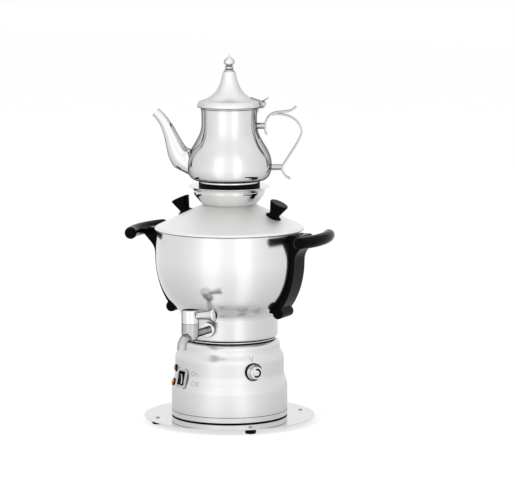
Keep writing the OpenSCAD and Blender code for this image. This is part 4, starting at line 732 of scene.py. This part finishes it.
def strip(loops, closed=True, keen=40):
    """A skin through loops of points in millimetres. It is joined end to end, or closed off at both ends."""
    bm = bmesh.new()
    rings = [[bm.verts.new(Vector(p) * mm) for p in loop] for loop in loops]
    for a, b in zip(rings, rings[1:] + rings[:1] if closed else rings[1:]):
        for i in range(len(a)):
            j = (i + 1) % len(a)
            bm.faces.new((a[i], a[j], b[j], b[i]))
    if not closed:
        bm.faces.new(rings[0])
        bm.faces.new(rings[-1][::-1])
    return shaped(bm, keen)


def on_base(place, x, y, lift=0.0):
    """The height over a place, in millimetres, at which its point (x, y) lies lift over the base's wall."""
    height = 0.0
    for _ in range(8):
        at = place @ Vector((x * mm, y * mm, height * mm))
        height += radius_at(base_line, at.z / mm) - math.hypot(at.x, at.y) / mm
    return (x, y, height + lift)


capital_share, ink_thick = 0.73, 0.06


def printed(name, words, tall, place, ink):
    """Plain letters laid on the base's wall, with capitals tall millimetres high."""
    letters = bpy.data.curves.new(name, "FONT")
    letters.body = words
    letters.size = tall * mm / capital_share
    letters.align_x = letters.align_y = "CENTER"
    mesh = finished(placed("blank", letters))
    bm = bmesh.new()
    bm.from_mesh(mesh)
    bmesh.ops.triangulate(bm, faces=bm.faces[:])
    bmesh.ops.subdivide_edges(bm, edges=bm.edges[:], cuts=5, use_grid_fill=True)
    bm.to_mesh(mesh)
    bm.free()
    for vertex in mesh.vertices:
        vertex.co = Vector(on_base(place, vertex.co.x / mm, vertex.co.y / mm, ink_thick)) * mm
    piece(name, mesh, "samovar", "grey_plastic", ink, place=place)


# Painted shade: a black arc laid over the groove in the knob's face, open on one side.
groove_shade_black = skinned("groove_shade_black", (0.006, 0.006, 0.006), (0.012, 0.012, 0.012), (0.4, 0.5), 0.1, specular=0.1)
etched_steel = metal("etched_steel", (0.47, 0.47, 0.47), (0.41, 0.41, 0.41), 3000, (0.55, 0.65, 0.05), 0.3)
arc_section = [(arc_r - arc_half, face_z - 0.3), (arc_r + arc_half, face_z - 0.3),
               (arc_r + arc_half, face_z + 0.12), (arc_r - arc_half, face_z + 0.12)]
arc_loops = [[(r * math.cos(a), r * math.sin(a), z) for r, z in arc_section]
             for a in (math.radians(d) for d in range(-125, 101, 5))]
piece("dial_groove_shade", strip(arc_loops, closed=False), "thermostat_dial", "black_plastic", groove_shade_black,
      place=on_dial)
mark_azimuth, mark_z = 50.3, 121.5
printed("dial_mark", "V", 11, on_shell(mark_azimuth, mark_z), etched_steel)

# ---------- switch ----------
# A grey satin frame is set on the wall above the skirt. The black rocker turns on its own pin in the
# black housing behind it.
grey_satin = skinned("grey_satin", (0.58, 0.58, 0.585), (0.52, 0.52, 0.525), (0.22, 0.32), 0.15,
                     grain=600.0, coat=0.25)


def round_corners(half_wide, half_tall):
    """Gives each corner of a rectangle 9 times, each with the next direction of a quarter turn."""
    for quarter, (sx, sy) in enumerate(((1, 1), (-1, 1), (-1, -1), (1, -1))):
        for k in range(9):
            t = math.radians(90 * quarter + 90 * k / 8)
            yield sx * half_wide, sy * half_tall, math.cos(t), math.sin(t)


def framed(half_wide, half_tall, corner, section, taller):
    """A closed ring round a rounded rectangle. The section is (inset, height) pairs in millimetres, and the
    insets at the top and bottom are taller times as deep."""
    loops = []
    for inwards, height in section:
        r = max(corner - inwards, 0.35)
        loops.append([(x + r * c, y + r * s, height) for x, y, c, s in
                      round_corners(half_wide - inwards - r, half_tall - inwards * taller - r)])
    return strip(loops, keen=32)


frame_half, frame_tall, frame_corner, frame_proud, sill = 15.75, 17, 5, 3, 2.3
frame_section = eased([(0, -4), (0, frame_proud, 0.8), (3.9, frame_proud, 0.3), (4.4, sill, 0.3),
                       (5.75, sill, 0.2), (5.75, -4)])
frame_mesh = worked(framed(frame_half, frame_tall, frame_corner, frame_section, 0.74),
                    ("DIFFERENCE", base_core.copy(), on_switch.inverted()))
piece("switch_surround", frame_mesh, "samovar", "grey_plastic", grey_satin, "switch_frame", place=on_switch)
dressed(black_phenolic, "switch_body")
# A black rubber bead round the frame's foot: a seal, which also paints the dark shadow line along the
# frame's edge.
bead_section = ((4.6, -0.3), (4.6, 0.3), (5.7, 0.3), (5.9, -0.3))
bead = [[on_base(on_switch, x + r * c, y + r * s, rise) for r, rise in bead_section]
        for x, y, c, s in round_corners(frame_half - frame_corner, frame_tall - frame_corner)]
piece("switch_edge_shade_bead", strip(bead), "samovar", "black_rubber", black_rubber, place=on_switch)
on_word_z, off_word_z = 94.2, 77.1
printed("switch_word_on", "On", 9.0, on_shell(-13.6, on_word_z), etched_steel)
printed("switch_word_off", "Off", 9.5, on_shell(-12.2, off_word_z, -lean_at(base_line, off_word_z)),
        etched_steel)
pivot, rocker_lean, rocker_wide, hollow_r, hollow_z = -3.5, 9, 16, 28, 6


def extruded(outline, width, ease=0.0):
    """A plate whose outline lies in its XZ plane, in millimetres, centred on Y, with eased edges."""
    bm = bmesh.new()
    near = [bm.verts.new((x * mm, -width / 2 * mm, z * mm)) for x, z in outline]
    far = [bm.verts.new((x * mm, width / 2 * mm, z * mm)) for x, z in outline]
    bm.faces.new(near)
    bm.faces.new(far[::-1])
    for i in range(len(near)):
        j = (i + 1) % len(near)
        bm.faces.new((near[i], far[i], far[j], near[j]))
    if ease:
        bmesh.ops.recalc_face_normals(bm, faces=bm.faces)
        keen = [e for e in bm.edges if e.calc_face_angle(0) > math.radians(40)]
        bmesh.ops.bevel(bm, geom=keen, offset=ease * mm, segments=3, affect="EDGES", profile=0.5,
                        clamp_overlap=True)
    return shaped(bm)


def hollow_at(x):
    """Height of the rocker's hollow face."""
    return hollow_z + hollow_r - math.sqrt(hollow_r * hollow_r - x * x)


rocker_xs = [k * 0.78 for k in range(-12, 13)]
rocker_outline = [(x, hollow_at(x)) for x in rocker_xs] + [
    (10.05, 3), (10.2, -1), (9.2, -4), (-9.2, -4), (-10.2, -1), (-10.05, 3)]
rocker_place = on_switch @ at_rest(0, 0, pivot) @ tipped(rocker_lean, "X") @ tipped(90, "Z")
piece("switch_rocker_cap", extruded(rocker_outline, rocker_wide, 0.6), "rocker", "black_plastic",
      black_phenolic, "switch_rocker", place=rocker_place)
# A light printed line along the rocker's hollow face, which also stands in for the highlight there.
white_mark_highlight = skinned("white_mark_highlight", (0.80, 0.80, 0.80), (0.74, 0.74, 0.74), (0.3, 0.4), 0.1)
line_section = ((-4.1, -0.18), (-4.1, 0.07), (-1.2, 0.07), (-1.2, -0.18))
line_loops = [[(x, y, hollow_at(x) + rise) for y, rise in line_section] for x in rocker_xs[1:-1]]
piece("rocker_mark_highlight", strip(line_loops, closed=False), "rocker", "grey_plastic", white_mark_highlight,
      place=rocker_place)

# ---------- pilot lamps ----------
# Two neon lamps beside the switch: red above for heating, amber below for mains. Each domed coloured
# lens is clipped into a thin black ring.
red_lens = skinned("red_lens", (0.42, 0.006, 0.016), (0.32, 0.005, 0.012), (0.10, 0.16), 0.05, coat=0.6)
amber_lens = skinned("amber_lens", (0.85, 0.26, 0.03), (0.72, 0.20, 0.02), (0.10, 0.16), 0.05, coat=0.6)
lens_r = 5.4
for label, place, lens in (("red", on_lamps[0], red_lens), ("amber", on_lamps[1], amber_lens)):
    dome = [(0, -3), (4.9, -3), (4.9, 1.5), (lens_r, 1.6)] + oval((0, 2.0), lens_r, lens_r / 2, 4, 90, 12)
    piece(f"lamp_lens_{label}", turned(dome, 56), "samovar", f"{label}_lens", lens, f"lamp_{label}",
          place=place)
    clip = worked(turned(eased([(lamp_hole_r, -3), (6.5, -3), (6.5, 2.2, 0.5), (5.5, 2.2, 0.3), (5.5, 1.5),
                                (lamp_hole_r, 1.5)]), 56),
                  ("DIFFERENCE", base_core.copy(), place.inverted()))
    piece(f"lamp_ring_{label}", clip, "samovar", "black_plastic", black_phenolic, "lamp_bezels",
          place=place)

# ---------- mains entry ----------
# A black gland at the back holds the mains lead, which is left off here. Its nut and the cream terminal
# block are inside the base.
cream_plastic = skinned("cream_plastic", (0.78, 0.74, 0.62), (0.70, 0.65, 0.52), (0.45, 0.6), 0.3)
dressed(black_phenolic, "cable_gland", "gland_nut")
dressed(cream_plastic, "terminal_block")

# ---------- tap ----------
# A plug tap in polished steel: a round body on a stem through the vessel's foot, a bent outlet, and a
# head that turns with its side lever. A ring covers the seal on the vessel, and a cap closes the head.
tap_y, tap_r, tap_z = -153, 14.75, 172.5
body_top, head_z, head_top, lever_z = 194, 194.3, 217.1, 206
stem_r, outlet_r, outlet_wall, outlet_bend, outlet_run, outlet_z = 6.5, 7.8, 1.9, 16, 17, 170
tap_steel = steel("tap_steel", 0.70, 0.65, 1100, (0.03, 0.06, 0.02), 0.05, edge=0.0)


def swept(path, radii, across, sides):
    """A bar of round rings along a path of points. Across is the direction square to the path's plane."""
    across = Vector(across)
    loops = []
    for i, (at, r) in enumerate(zip(path, radii)):
        run = (Vector(path[min(i + 1, len(path) - 1)]) - Vector(path[max(i - 1, 0)])).normalized()
        up = run.cross(across)
        loops.append([Vector(at) + across * (r * math.cos(t)) + up * (r * math.sin(t))
                      for t in (2 * math.pi * k / sides for k in range(sides))])
    return strip(loops, closed=False, keen=32)


def outlet(radius, start, end, sides):
    """A round bar out of the tap body along -Y, round the bend and down."""
    bend = [math.radians(90 * k / 16) for k in range(17)]
    path = ([(0, -start, outlet_z)]
            + [(0, -outlet_run - outlet_bend * math.sin(t), outlet_z - outlet_bend * (1 - math.cos(t)))
               for t in bend]
            + [(0, -outlet_run - outlet_bend, outlet_z - outlet_bend - end)])
    return swept(path, [radius] * len(path), (1, 0, 0), sides)


body_outline = eased([(0, tap_z + 3 - tap_r)] + oval((0, tap_z + 3), tap_r, tap_r, -90, 0, 20, 1)
                     + [(tap_r, tap_z + 4), (tap_r, body_top, 0.5), (10.5, body_top), (10.5, body_top + 6),
                        (0, body_top + 6)])
tap_mesh = worked(
    turned(body_outline, 96),
    ("UNION", rod(stem_r, -2, 80), at_rest(0, 0, tap_z) @ tipped(-90, "X")),
    ("UNION", outlet(outlet_r, 0, 1.5, 56), None),
    ("DIFFERENCE", outlet(outlet_r - outlet_wall, 8, 4, 48), None))
# The body takes a darker copy of the head's polished steel: painted shade for its darker reflections.
tap_body_shaded_steel = steel("tap_body_shaded_steel", 0.47, 0.42, 1100, (0.05, 0.09, 0.02), 0.06, edge=0.0)
piece("tap_body_turned", tap_mesh, "samovar", "polished_steel", tap_body_shaded_steel, "tap_body",
      place=at_rest(0, tap_y))
head_mesh = turned(eased([
    (0, head_top), (tap_r - 1.8, head_top), (tap_r - 0.8, head_top, 0.5), (tap_r, head_top - 0.9),
    (tap_r, head_z, 0.5), (tap_r - 1.6, head_z), (tap_r - 1.6, head_z + 8.7), (4.6, head_z + 8.7),
    (4.6, head_z + 14), (0, head_z + 14)][::-1]), 96)
piece("tap_head_turned", head_mesh, "tap_handle", "polished_steel", tap_steel, "tap_head",
      place=at_rest(0, tap_y))
piece("tap_cap_turned", turned(eased([(0, head_top - 1.4), (tap_r - 1.85, head_top - 1.4),
                                      (tap_r - 1.85, head_top + 0.1, 0.4)]
                                     + curve((tap_r - 2.4, head_top + 0.3), (9, head_top + 0.8),
                                             (5, head_top + 0.8), (0, head_top + 0.8), 6)), 80),
      "tap_handle", "polished_steel", tap_steel, "tap_cap", place=at_rest(0, tap_y))
lever_reach, lever_r, lever_end, lever_rise = 47.35, 6, 11, 7
lever_outline = ([(0, tap_r - 3), (lever_r, tap_r - 3), (lever_r, tap_r - 1)]
                 + curve((lever_r, tap_r + 1), (lever_r + 0.5, tap_r + 12),
                         (lever_end - 3.5, lever_reach - 12), (lever_end - 0.5, lever_reach - 4), 20)
                 + oval((lever_end - 2, lever_reach - 2), 2, 2, -15, 80, 8)
                 + [(lever_end - 3.4, lever_reach + 0.1), (0, lever_reach + 0.6)])
piece("tap_lever_turned", turned(lever_outline, 72), "tap_handle", "polished_steel", tap_steel,
      "tap_lever", place=at_rest(0, tap_y, lever_z) @ tipped(90 - lever_rise))
collar_r, collar_in, collar_h = 13.3, stem_r + 0.05, 6
on_stem = on_wall(0, vessel_foot_r, tap_z)
collar = worked(turned(eased([(collar_in, -2), (collar_r, -2), (collar_r, collar_h - 1.4, 0.6),
                              (collar_r - 2, collar_h, 0.5), (collar_in, collar_h)]), 80),
                ("DIFFERENCE", rod(vessel_foot_r + 1.2, 100, 260, 220), on_stem.inverted()))
piece("tap_collar", collar, "samovar", "polished_steel", tap_steel, "tap_wall_ring", place=on_stem)
dressed(black_rubber, "tap_seals")
dressed(brass, "tap_inner_nut", "tap_plug")
dressed(plain_steel, "tap_gland_nut", "tap_head_screw")

# ---------- side handles ----------
# Each is one moulding in gloss black phenolic: a bracket that hugs the bowl down to a scroll at the
# foot, a short arm under the rim, and a round curved grip. Two screws from inside hold it.
grip_r, grip_half, grip_arc = 10.85, 20.5, 174
grip_z, handle_top = rim_z - 9.5, rim_z - rim_thick - 0.9
arm_top, arm_thick, bracket_w = grip_z + 4, 9, 46
bracket_a, bracket_b = bowl_round + 6.5, bowl_deep + 13
arm_root = grip_arc - grip_r - 6
scroll_x, scroll_z = vessel_foot_r + 19, floor_z + 46.5
bracket_outline = (
    [(bowl_c[0], handle_top), (bowl_r + 18, handle_top), (bowl_r + 22, arm_top), (grip_arc, arm_top),
     (grip_arc, arm_top - arm_thick)]
    + curve((arm_root, arm_top - arm_thick), (arm_root - 10, arm_top - arm_thick - 12),
            (bowl_c[0] + bracket_a, bowl_c[1] + 18), (bowl_c[0] + bracket_a, bowl_c[1]), 20)
    + oval(bowl_c, bracket_a, bracket_b, 0, -48, 24, 1)
    + [(scroll_x, scroll_z), (vessel_foot_r - 10, scroll_z), (vessel_foot_r - 10, bowl_c[1])]
)


def scroll_bar(radius, length, ease=1.2):
    """A round bar with eased ends, centred on the Z axis."""
    half = length / 2
    return turned(eased([(0, -half), (radius, -half, ease), (radius, half, ease), (0, half)]), 64)


def curved_grip():
    """The round grip, bent round the vessel's axis, with domed ends."""
    dome = [math.radians(90 * k / 8) for k in range(9)]
    end_line = [-grip_half - math.degrees(grip_r * math.cos(t) / grip_arc) for t in dome]
    end_radii = [max(grip_r * math.sin(t), 0.02) for t in dome]
    line = (end_line + [-grip_half + 2 * grip_half * k / 24 for k in range(1, 24)]
            + [-a for a in end_line[::-1]])
    points = [(grip_arc * math.cos(math.radians(a)), grip_arc * math.sin(math.radians(a)), grip_z)
              for a in line]
    return swept(points, end_radii + [grip_r] * 23 + end_radii[::-1], (0, 0, 1), 48)


def rounded_off(mesh, voxel, passes):
    """Runs a mould's radii over every edge: a fine remesh, then smoothing."""
    blank = placed("blank", mesh)
    remesh = blank.modifiers.new("remesh", "REMESH")
    remesh.mode = "VOXEL"
    remesh.voxel_size = voxel * mm
    ease = blank.modifiers.new("ease", "SMOOTH")
    ease.factor = 0.5
    ease.iterations = passes
    made = finished(blank)
    for face in made.polygons:
        face.use_smooth = True
    return made


vessel_core = turned([(p[0] + 0.05, p[1]) if p[0] else p for p in vessel_line] + [(0, rim_z)], 200)
handle_blank = worked(
    extruded(bracket_outline, bracket_w),
    ("UNION", scroll_bar(9.5, bracket_w + 2), at_rest(scroll_x, 0, scroll_z) @ tipped(90, "X")),
    ("UNION", scroll_bar(8, bracket_w), at_rest(scroll_x - 6.5, 0, scroll_z + 6.5) @ tipped(90, "X")),
    ("UNION", curved_grip(), None),
    ("DIFFERENCE", vessel_core, None))
handle_mesh = rounded_off(handle_blank, 0.9, 5)
piece("side_handle_right", handle_mesh, "samovar", "black_plastic", black_phenolic, "handle_right")
piece("side_handle_left", handle_mesh.copy(), "samovar", "black_plastic", black_phenolic, "handle_left",
      place=tipped(180, "Z"))
dressed(plain_steel, "handle_screws")

# ---------- vessel lid ----------
# A flat cone spun from thin steel, with a folded edge over the rim and a skirt that drops into the
# mouth. The steam hole in its crown opens into the pot rest.
# A dark band of painted shade runs round the edge where the lid lies on the rim.
lid_steel = steel("lid_steel", 0.82, 0.80, 2200, (0.54, 0.62, 0.02), 0.2, anisotropy=0.3,
                  seams=((rim_z - 1, rim_z + 1, 0.85),))
lid_r, lid_slope, steam_r, rest_base_r, skirt_deep = 131, 25.5, 40, 46.5, 9
cone_r, cone_z, skirt_r = lid_r - 2.9, rim_z + 4.5, mouth_r - 0.6


def cone_at(radius):
    """Height of the lid's cone at a radius."""
    return cone_z + (cone_r - radius) * math.tan(math.radians(lid_slope))


crown_z = cone_at(rest_base_r + 1) + 0.5
lid_outline = eased([
    (lid_r - 0.4, rim_z, 0.2), (lid_r, rim_z + 1, 0.8), (lid_r - 1, rim_z + 2.3, 0.8), (cone_r, cone_z, 2.5),
    (rest_base_r + 1, cone_at(rest_base_r + 1), 1), (rest_base_r - 0.5, crown_z), (steam_r, crown_z),
    (steam_r, crown_z - 1), (rest_base_r + 1, cone_at(rest_base_r + 1) - 1.1),
    (skirt_r - 1, cone_at(skirt_r - 1) - 1.1), (skirt_r - 1, rim_z - skirt_deep, 0.3),
    (skirt_r, rim_z - skirt_deep, 0.3), (skirt_r, rim_z)])
piece("vessel_lid_spun", turned(lid_outline, 256), "lid", "satin_steel", lid_steel, "vessel_lid")

# ---------- lid knobs ----------
# Two black phenolic knobs stand square on the lid's slope, one towards each side handle. A screw from
# below holds each.
knob_r, knob_waist, knob_foot, knob_edge, waist_h, knob_h, knob_at = 16.5, 9.3, 14, 1.6, 6, 27, 85
knob_outline = (eased([(0, -1.5), (knob_foot, -1.5), (knob_foot, knob_edge, 0.5)])
                + curve((knob_foot - 0.7, knob_edge + 0.2), (knob_foot - 2, knob_edge + 1),
                        (knob_waist, waist_h - 2.2), (knob_waist, waist_h), 12)
                + [(knob_waist + 0.25, waist_h + 0.8)]
                + oval((knob_r - 1.6, knob_h - 1.6), 1.6, 1.6, -10, 90, 8)
                + [(knob_r - 4, knob_h), (0, knob_h)])
lid_core = turned([(0, rim_z), (lid_r, rim_z), (cone_r, cone_z), (rest_base_r, cone_at(rest_base_r)),
                   (0, cone_at(rest_base_r))], 200)
for label, turn_by in (("right", 0), ("left", 180)):
    knob_place = tipped(turn_by, "Z") @ at_rest(knob_at, 0, cone_at(knob_at)) @ tipped(lid_slope)
    knob_mesh = worked(turned(knob_outline, 96), ("DIFFERENCE", lid_core.copy(), knob_place.inverted()))
    piece(f"lid_knob_turned_{label}", knob_mesh, "lid", "black_plastic", black_phenolic,
          f"lid_knob_{label}", place=knob_place)
dressed(plain_steel, "knob_screws")

# ---------- pot rest ----------
# A small spun bowl with a turned-out lip is welded to the lid's crown and closed by a flat saucer. A
# black ring lies on the saucer and holds the teapot's foot in its lip.
rest_top, rest_neck, rest_r = crown_z + 32.5, 63.5, 72
rest_line = (
    [(steam_r, crown_z), (rest_base_r - 1, crown_z)]
    + curve((rest_base_r, crown_z), (rest_base_r + 6.5, crown_z + 6), (rest_neck - 1.5, crown_z + 15),
            (rest_neck, crown_z + 24), 24)
    + curve((rest_neck, crown_z + 24), (rest_neck + 0.5, crown_z + 28), (rest_neck + 3.5, rest_top - 1.6),
            (rest_r - 0.6, rest_top - 1.0), 16, 1)
)
seat_r, seat_h, seat_in, spigot_r = 53.5, 6.2, 45.5, 51
saucer = [(rest_r, rest_top - 0.9, 0.3), (rest_r, rest_top, 0.4), (seat_in, rest_top),
          (seat_in, rest_top - 1), (rest_r - 4, rest_top - 1)]
rest_outline = eased(rest_line + saucer + inset(rest_line, 1)[:-3][::-1])
piece("pot_rest_spun", turned(rest_outline, 220), "lid", "polished_steel", polished_steel, "pot_rest")
piece("pot_seat", turned(eased([
    (seat_in, rest_top), (seat_r, rest_top), (seat_r, rest_top + seat_h, 0.8),
    (spigot_r + 0.3, rest_top + seat_h, 0.3), (spigot_r + 0.3, rest_top + 2.5), (seat_in, rest_top + 2.5)]),
    180), "lid", "black_rubber", black_rubber, "pot_seat_ring")

# ---------- teapot body ----------
# Spun from polished steel: a low round belly, a long concave neck and a small rolled rim. A foot ring is
# welded below, and the spout is a bent tapering tube soldered to the belly.
pot_turn = tipped(26, "Z")
seat_top, foot_ring_h = rest_top + seat_h, 2.8
pot_z, pot_r, pot_neck, pot_foot, pot_h = seat_top + foot_ring_h, 74.2, 48.5, 53, 129
pot_rim_z, belly_z, neck_from = pot_z + pot_h, pot_z + 28, pot_z + 97
pot_steel = steel("pot_steel", 0.67, 0.63, 700, (0.02, 0.04, 0.02), 0.05, edge=0.0)
# The body has a dark line of painted shade just under its rolled rim.
pot_body_steel = steel("pot_body_steel", 0.66, 0.62, 700, (0.03, 0.05, 0.02), 0.05, edge=0.2,
                       seams=((pot_rim_z - 3.4, pot_rim_z - 2.2, 0.8),))
spigot_deep = 2.8
piece("teapot_foot_ring", turned(eased([
    (spigot_r - 2.2, seat_top - spigot_deep), (spigot_r, seat_top - spigot_deep, 0.3), (spigot_r, seat_top),
    (pot_foot - 0.3, seat_top, 0.4), (pot_foot - 0.3, pot_z, 0.3), (spigot_r - 2.2, pot_z)]), 180),
    "teapot", "polished_steel", pot_steel, "teapot_foot")
pot_line = (
    [(0, pot_z), (pot_foot - 3, pot_z)]
    + curve((pot_foot, pot_z), (pot_foot + 18, pot_z + 0.5), (pot_r, belly_z - 13), (pot_r, belly_z), 26)
    + curve((pot_r, belly_z), (pot_r, belly_z + 29), (pot_neck + 2, neck_from - 28), (pot_neck, neck_from),
            34, 1)
    + curve((pot_neck, neck_from), (pot_neck - 0.4, neck_from + 14), (pot_neck, pot_rim_z - 8),
            (pot_neck + 1.6, pot_rim_z - 2), 14, 1)
)
pot_inner = inset(pot_line, 1)
pot_rim = eased([pot_line[-1], (pot_neck + 2.6, pot_rim_z - 2, 0.5), (pot_neck + 2.6, pot_rim_z, 0.8),
                 (pot_neck + 0.3, pot_rim_z, 0.5), pot_inner[-1]])
pot_mesh = turned(pot_line[:-1] + pot_rim + pot_inner[:-1][::-1], 220)
piece("teapot_body_spun", pot_mesh, "teapot", "polished_steel", pot_body_steel, "teapot_body",
      place=pot_turn)
pot_mesh.materials.append(satin_steel)
for face in pot_mesh.polygons:
    faces_axis = face.normal.xy.dot(face.center.xy) < 0
    on_floor = face.center.z < (pot_z + 1.1) * mm and face.normal.z > 0.9
    face.material_index = int(faces_axis or on_floor)


spout_root_z = belly_z + 4
spout_ends = ((-pot_r - 54.3, pot_rim_z - 8.3), (-pot_r - 18.4, pot_rim_z - 39.8),
              (-pot_r - 26.7, spout_root_z + 8.7), (-pot_r + 3.3, spout_root_z + 2.6))
spout_tip_r, spout_root_r, spout_reach, spout_wall, spout_narrow = 8, 21.5, 0.86, 1.2, 0.16


def ring_at(at, run, r, flat, sides=64):
    """A ring of points round at, square to run, narrowed across the plane by flat."""
    made = []
    for k in range(sides):
        angle = 2 * math.pi * k / sides
        s = r * math.cos(angle)
        made.append((at[0] - run[1] * s, flat * r * math.sin(angle), at[1] + run[0] * s))
    return made


def spout_ring(t, thin):
    """One ring of the spout at t, from 0 at the tip to spout_reach near the belly."""
    a, b = point_on(spout_ends, max(0, t - 0.01)), point_on(spout_ends, min(1, t + 0.01))
    run = Vector((b[0] - a[0], b[1] - a[1])).normalized()
    r = spout_tip_r + (spout_root_r - spout_tip_r) * (t / spout_reach) ** 1.5
    return ring_at(point_on(spout_ends, t), run, r - thin, 1 - spout_narrow * t)


def root_ring(thin):
    """The spout's last ring, carried along X to the belly's wall."""
    ring = ring_at((0, spout_root_z), (1, 0), spout_root_r - thin, 1 - spout_narrow * spout_reach)
    return [(-math.sqrt(max(radius_at(pot_line[3:], z) ** 2 - y * y, 0)) + 0.35, y, z) for _, y, z in ring]


spout_stations = [max(k / 44 * spout_reach, 0.004) for k in range(45)]
spout_loops = ([spout_ring(0, 0.35)] + [spout_ring(t, 0) for t in spout_stations]
               + [root_ring(0), root_ring(spout_wall)]
               + [spout_ring(t, spout_wall) for t in spout_stations[::-1]] + [spout_ring(0, 0.85)])
piece("teapot_spout_bent", strip(spout_loops), "teapot", "polished_steel", pot_steel,
      "teapot_spout", place=pot_turn)


# ---------- teapot handle ----------
# Two lengths of flat steel strap with eased edges: a scroll at the top, and a loop that curls at its
# foot. Two short round ferrules hold them off the body.
def banded(line, t):
    """A band of thickness t along a line."""
    return inset(line, -t / 2) + inset(line, t / 2)[::-1]


upper_z, lower_z, strap_x = pot_z + 95.6, pot_z + 23.3, pot_neck + 14
loop_x, loop_top, lower_x = pot_r + 52, pot_z + 118, pot_r + 18.5
scroll_line = (
    curve((strap_x + 3.5, upper_z - 14.5), (strap_x - 0.5, upper_z - 13), (strap_x, upper_z - 6),
          (strap_x, upper_z), 12)
    + curve((strap_x, upper_z), (strap_x, upper_z + 12), (strap_x + 8, loop_top),
            (strap_x + 20, loop_top + 1.5), 18, 1)
    + curve((strap_x + 20, loop_top + 1.5), (strap_x + 34, loop_top + 3.5), (strap_x + 46, loop_top + 1),
            (strap_x + 54, loop_top + 12), 18, 1)
)
loop_line = (
    curve((strap_x + 12, loop_top - 2.6), (strap_x + 26, loop_top + 1.4), (loop_x - 3, loop_top - 5),
          (loop_x, loop_top - 32), 24)
    + curve((loop_x, loop_top - 32), (loop_x, loop_top - 44), (lower_x + 12, lower_z + 22),
            (lower_x, lower_z + 2), 24, 1)
    + curve((lower_x, lower_z + 2), (lower_x - 3, lower_z - 6), (lower_x + 4, lower_z - 17),
            (lower_x + 14, lower_z - 20), 14, 1)
)
# The straps and ferrules take a darker copy of the pot's polished steel: painted shade.
strap_shaded_steel = steel("strap_shaded_steel", 0.48, 0.42, 1500, (0.04, 0.08, 0.03), 0.08, edge=0.0)
strap_thick, strap_wide, ferrule_r = 3.2, 11, 5.35
for label, line in (("scroll", scroll_line), ("loop", loop_line)):
    piece(f"teapot_strap_{label}", extruded(banded(line, strap_thick), strap_wide, 0.8), "teapot",
          "polished_steel", strap_shaded_steel, "teapot_handle", place=pot_turn)
for label, start, end, z in (("upper", pot_neck - 0.5, strap_x - 1.2, upper_z),
                             ("lower", pot_r - 1.5, lower_x - 1.2, lower_z)):
    ferrule = turned(eased([(0, 0), (ferrule_r, 0), (ferrule_r, end - start, 0.4), (0, end - start)]), 56)
    piece(f"teapot_ferrule_{label}", ferrule, "teapot", "polished_steel", strap_shaded_steel, "teapot_ferrules",
          place=pot_turn @ at_rest(start, 0, z) @ tipped(90))

# ---------- teapot lid ----------
# A spun lid that sweeps up to a point, with a plug skirt in the neck and a turned finial screwed on top.
# It swings on a pinned hinge over the handle, with a curled thumb-piece to lift it.
pot_lid_r, lid_tip_r, plug_r = 56, 11.2, pot_neck - 2.2
lid_tip_z, plug_z = pot_rim_z + 61.5, pot_rim_z - 4
shoulder_end = (pot_lid_r - 6.5, pot_rim_z + 11)
cover_line = (
    [(pot_lid_r, pot_rim_z)]
    + curve((pot_lid_r, pot_rim_z + 1.6), (pot_lid_r, pot_rim_z + 6), (pot_lid_r - 2.6, pot_rim_z + 10),
            shoulder_end, 14)
    + curve(shoulder_end, (shoulder_end[0] - 22, shoulder_end[1] + 5.5), (lid_tip_r + 4.8, pot_rim_z + 31),
            (lid_tip_r, lid_tip_z), 36, 1)
)
# The lid has a dark band of painted shade along its lower edge, on the rim.
pot_lid_steel = steel("pot_lid_steel", 0.74, 0.72, 1500, (0.36, 0.44, 0.02), 0.15, anisotropy=0.2, edge=0.6,
                      seams=((pot_rim_z - 0.5, pot_rim_z + 1.1, 0.85),))
cover_outline = eased(
    cover_line[:-1] + [(lid_tip_r, lid_tip_z, 0.5), (2.2, lid_tip_z), (2.2, lid_tip_z - 1)]
    + inset(cover_line, 1)[3:-2][::-1]
    + [(plug_r - 1, pot_rim_z + 1), (plug_r - 1, plug_z, 0.2), (plug_r, plug_z, 0.2), (plug_r, pot_rim_z),
       (pot_lid_r - 0.5, pot_rim_z)])
piece("teapot_lid_spun", turned(cover_outline, 220), "teapot_cover", "satin_steel", pot_lid_steel,
      "teapot_lid", place=pot_turn)
# The finial's base and its two necks carry dark bands of painted shade.
finial_steel = steel("finial_steel", 0.70, 0.66, 1500, (0.05, 0.10, 0.03), 0.06, edge=0.0, seams=[
    (lid_tip_z + low, lid_tip_z + high, depth)
    for low, high, depth in ((-0.6, 0.4, 0.8), (3.2, 5, 0.75), (8.7, 11, 0.75))])
hinge_steel = steel("hinge_steel", 0.30, 0.22, 1500, (0.05, 0.12, 0.03), 0.08, edge=0.0)
finial_line = (
    eased([(0, 0), (9, 0, 0.3), (9, 2, 0.5), (6.6, 3.2, 0.4), (6.6, 5, 0.4), (7.9, 6, 0.4), (7.9, 7.4, 0.5),
           (5.6, 9, 0.5), (5.6, 11, 0.3)])
    + curve((6.4, 12), (10.6, 13.5), (10.6, 19), (6.2, 22), 14)
    + curve((6.2, 22), (3.6, 24), (1.4, 26), (0.8, 30.3), 12, 1)
    + [(0, 30.5)]
)
finial_outline = [(r, lid_tip_z + z) for r, z in finial_line]
piece("teapot_finial_turned", turned(finial_outline, 80), "teapot_cover", "polished_steel",
      finial_steel, "teapot_finial", place=pot_turn)
dressed(hinge_steel, "teapot_hinge_leaf", "teapot_lid_leaf")
dressed(plain_steel, "teapot_hinge_pin")
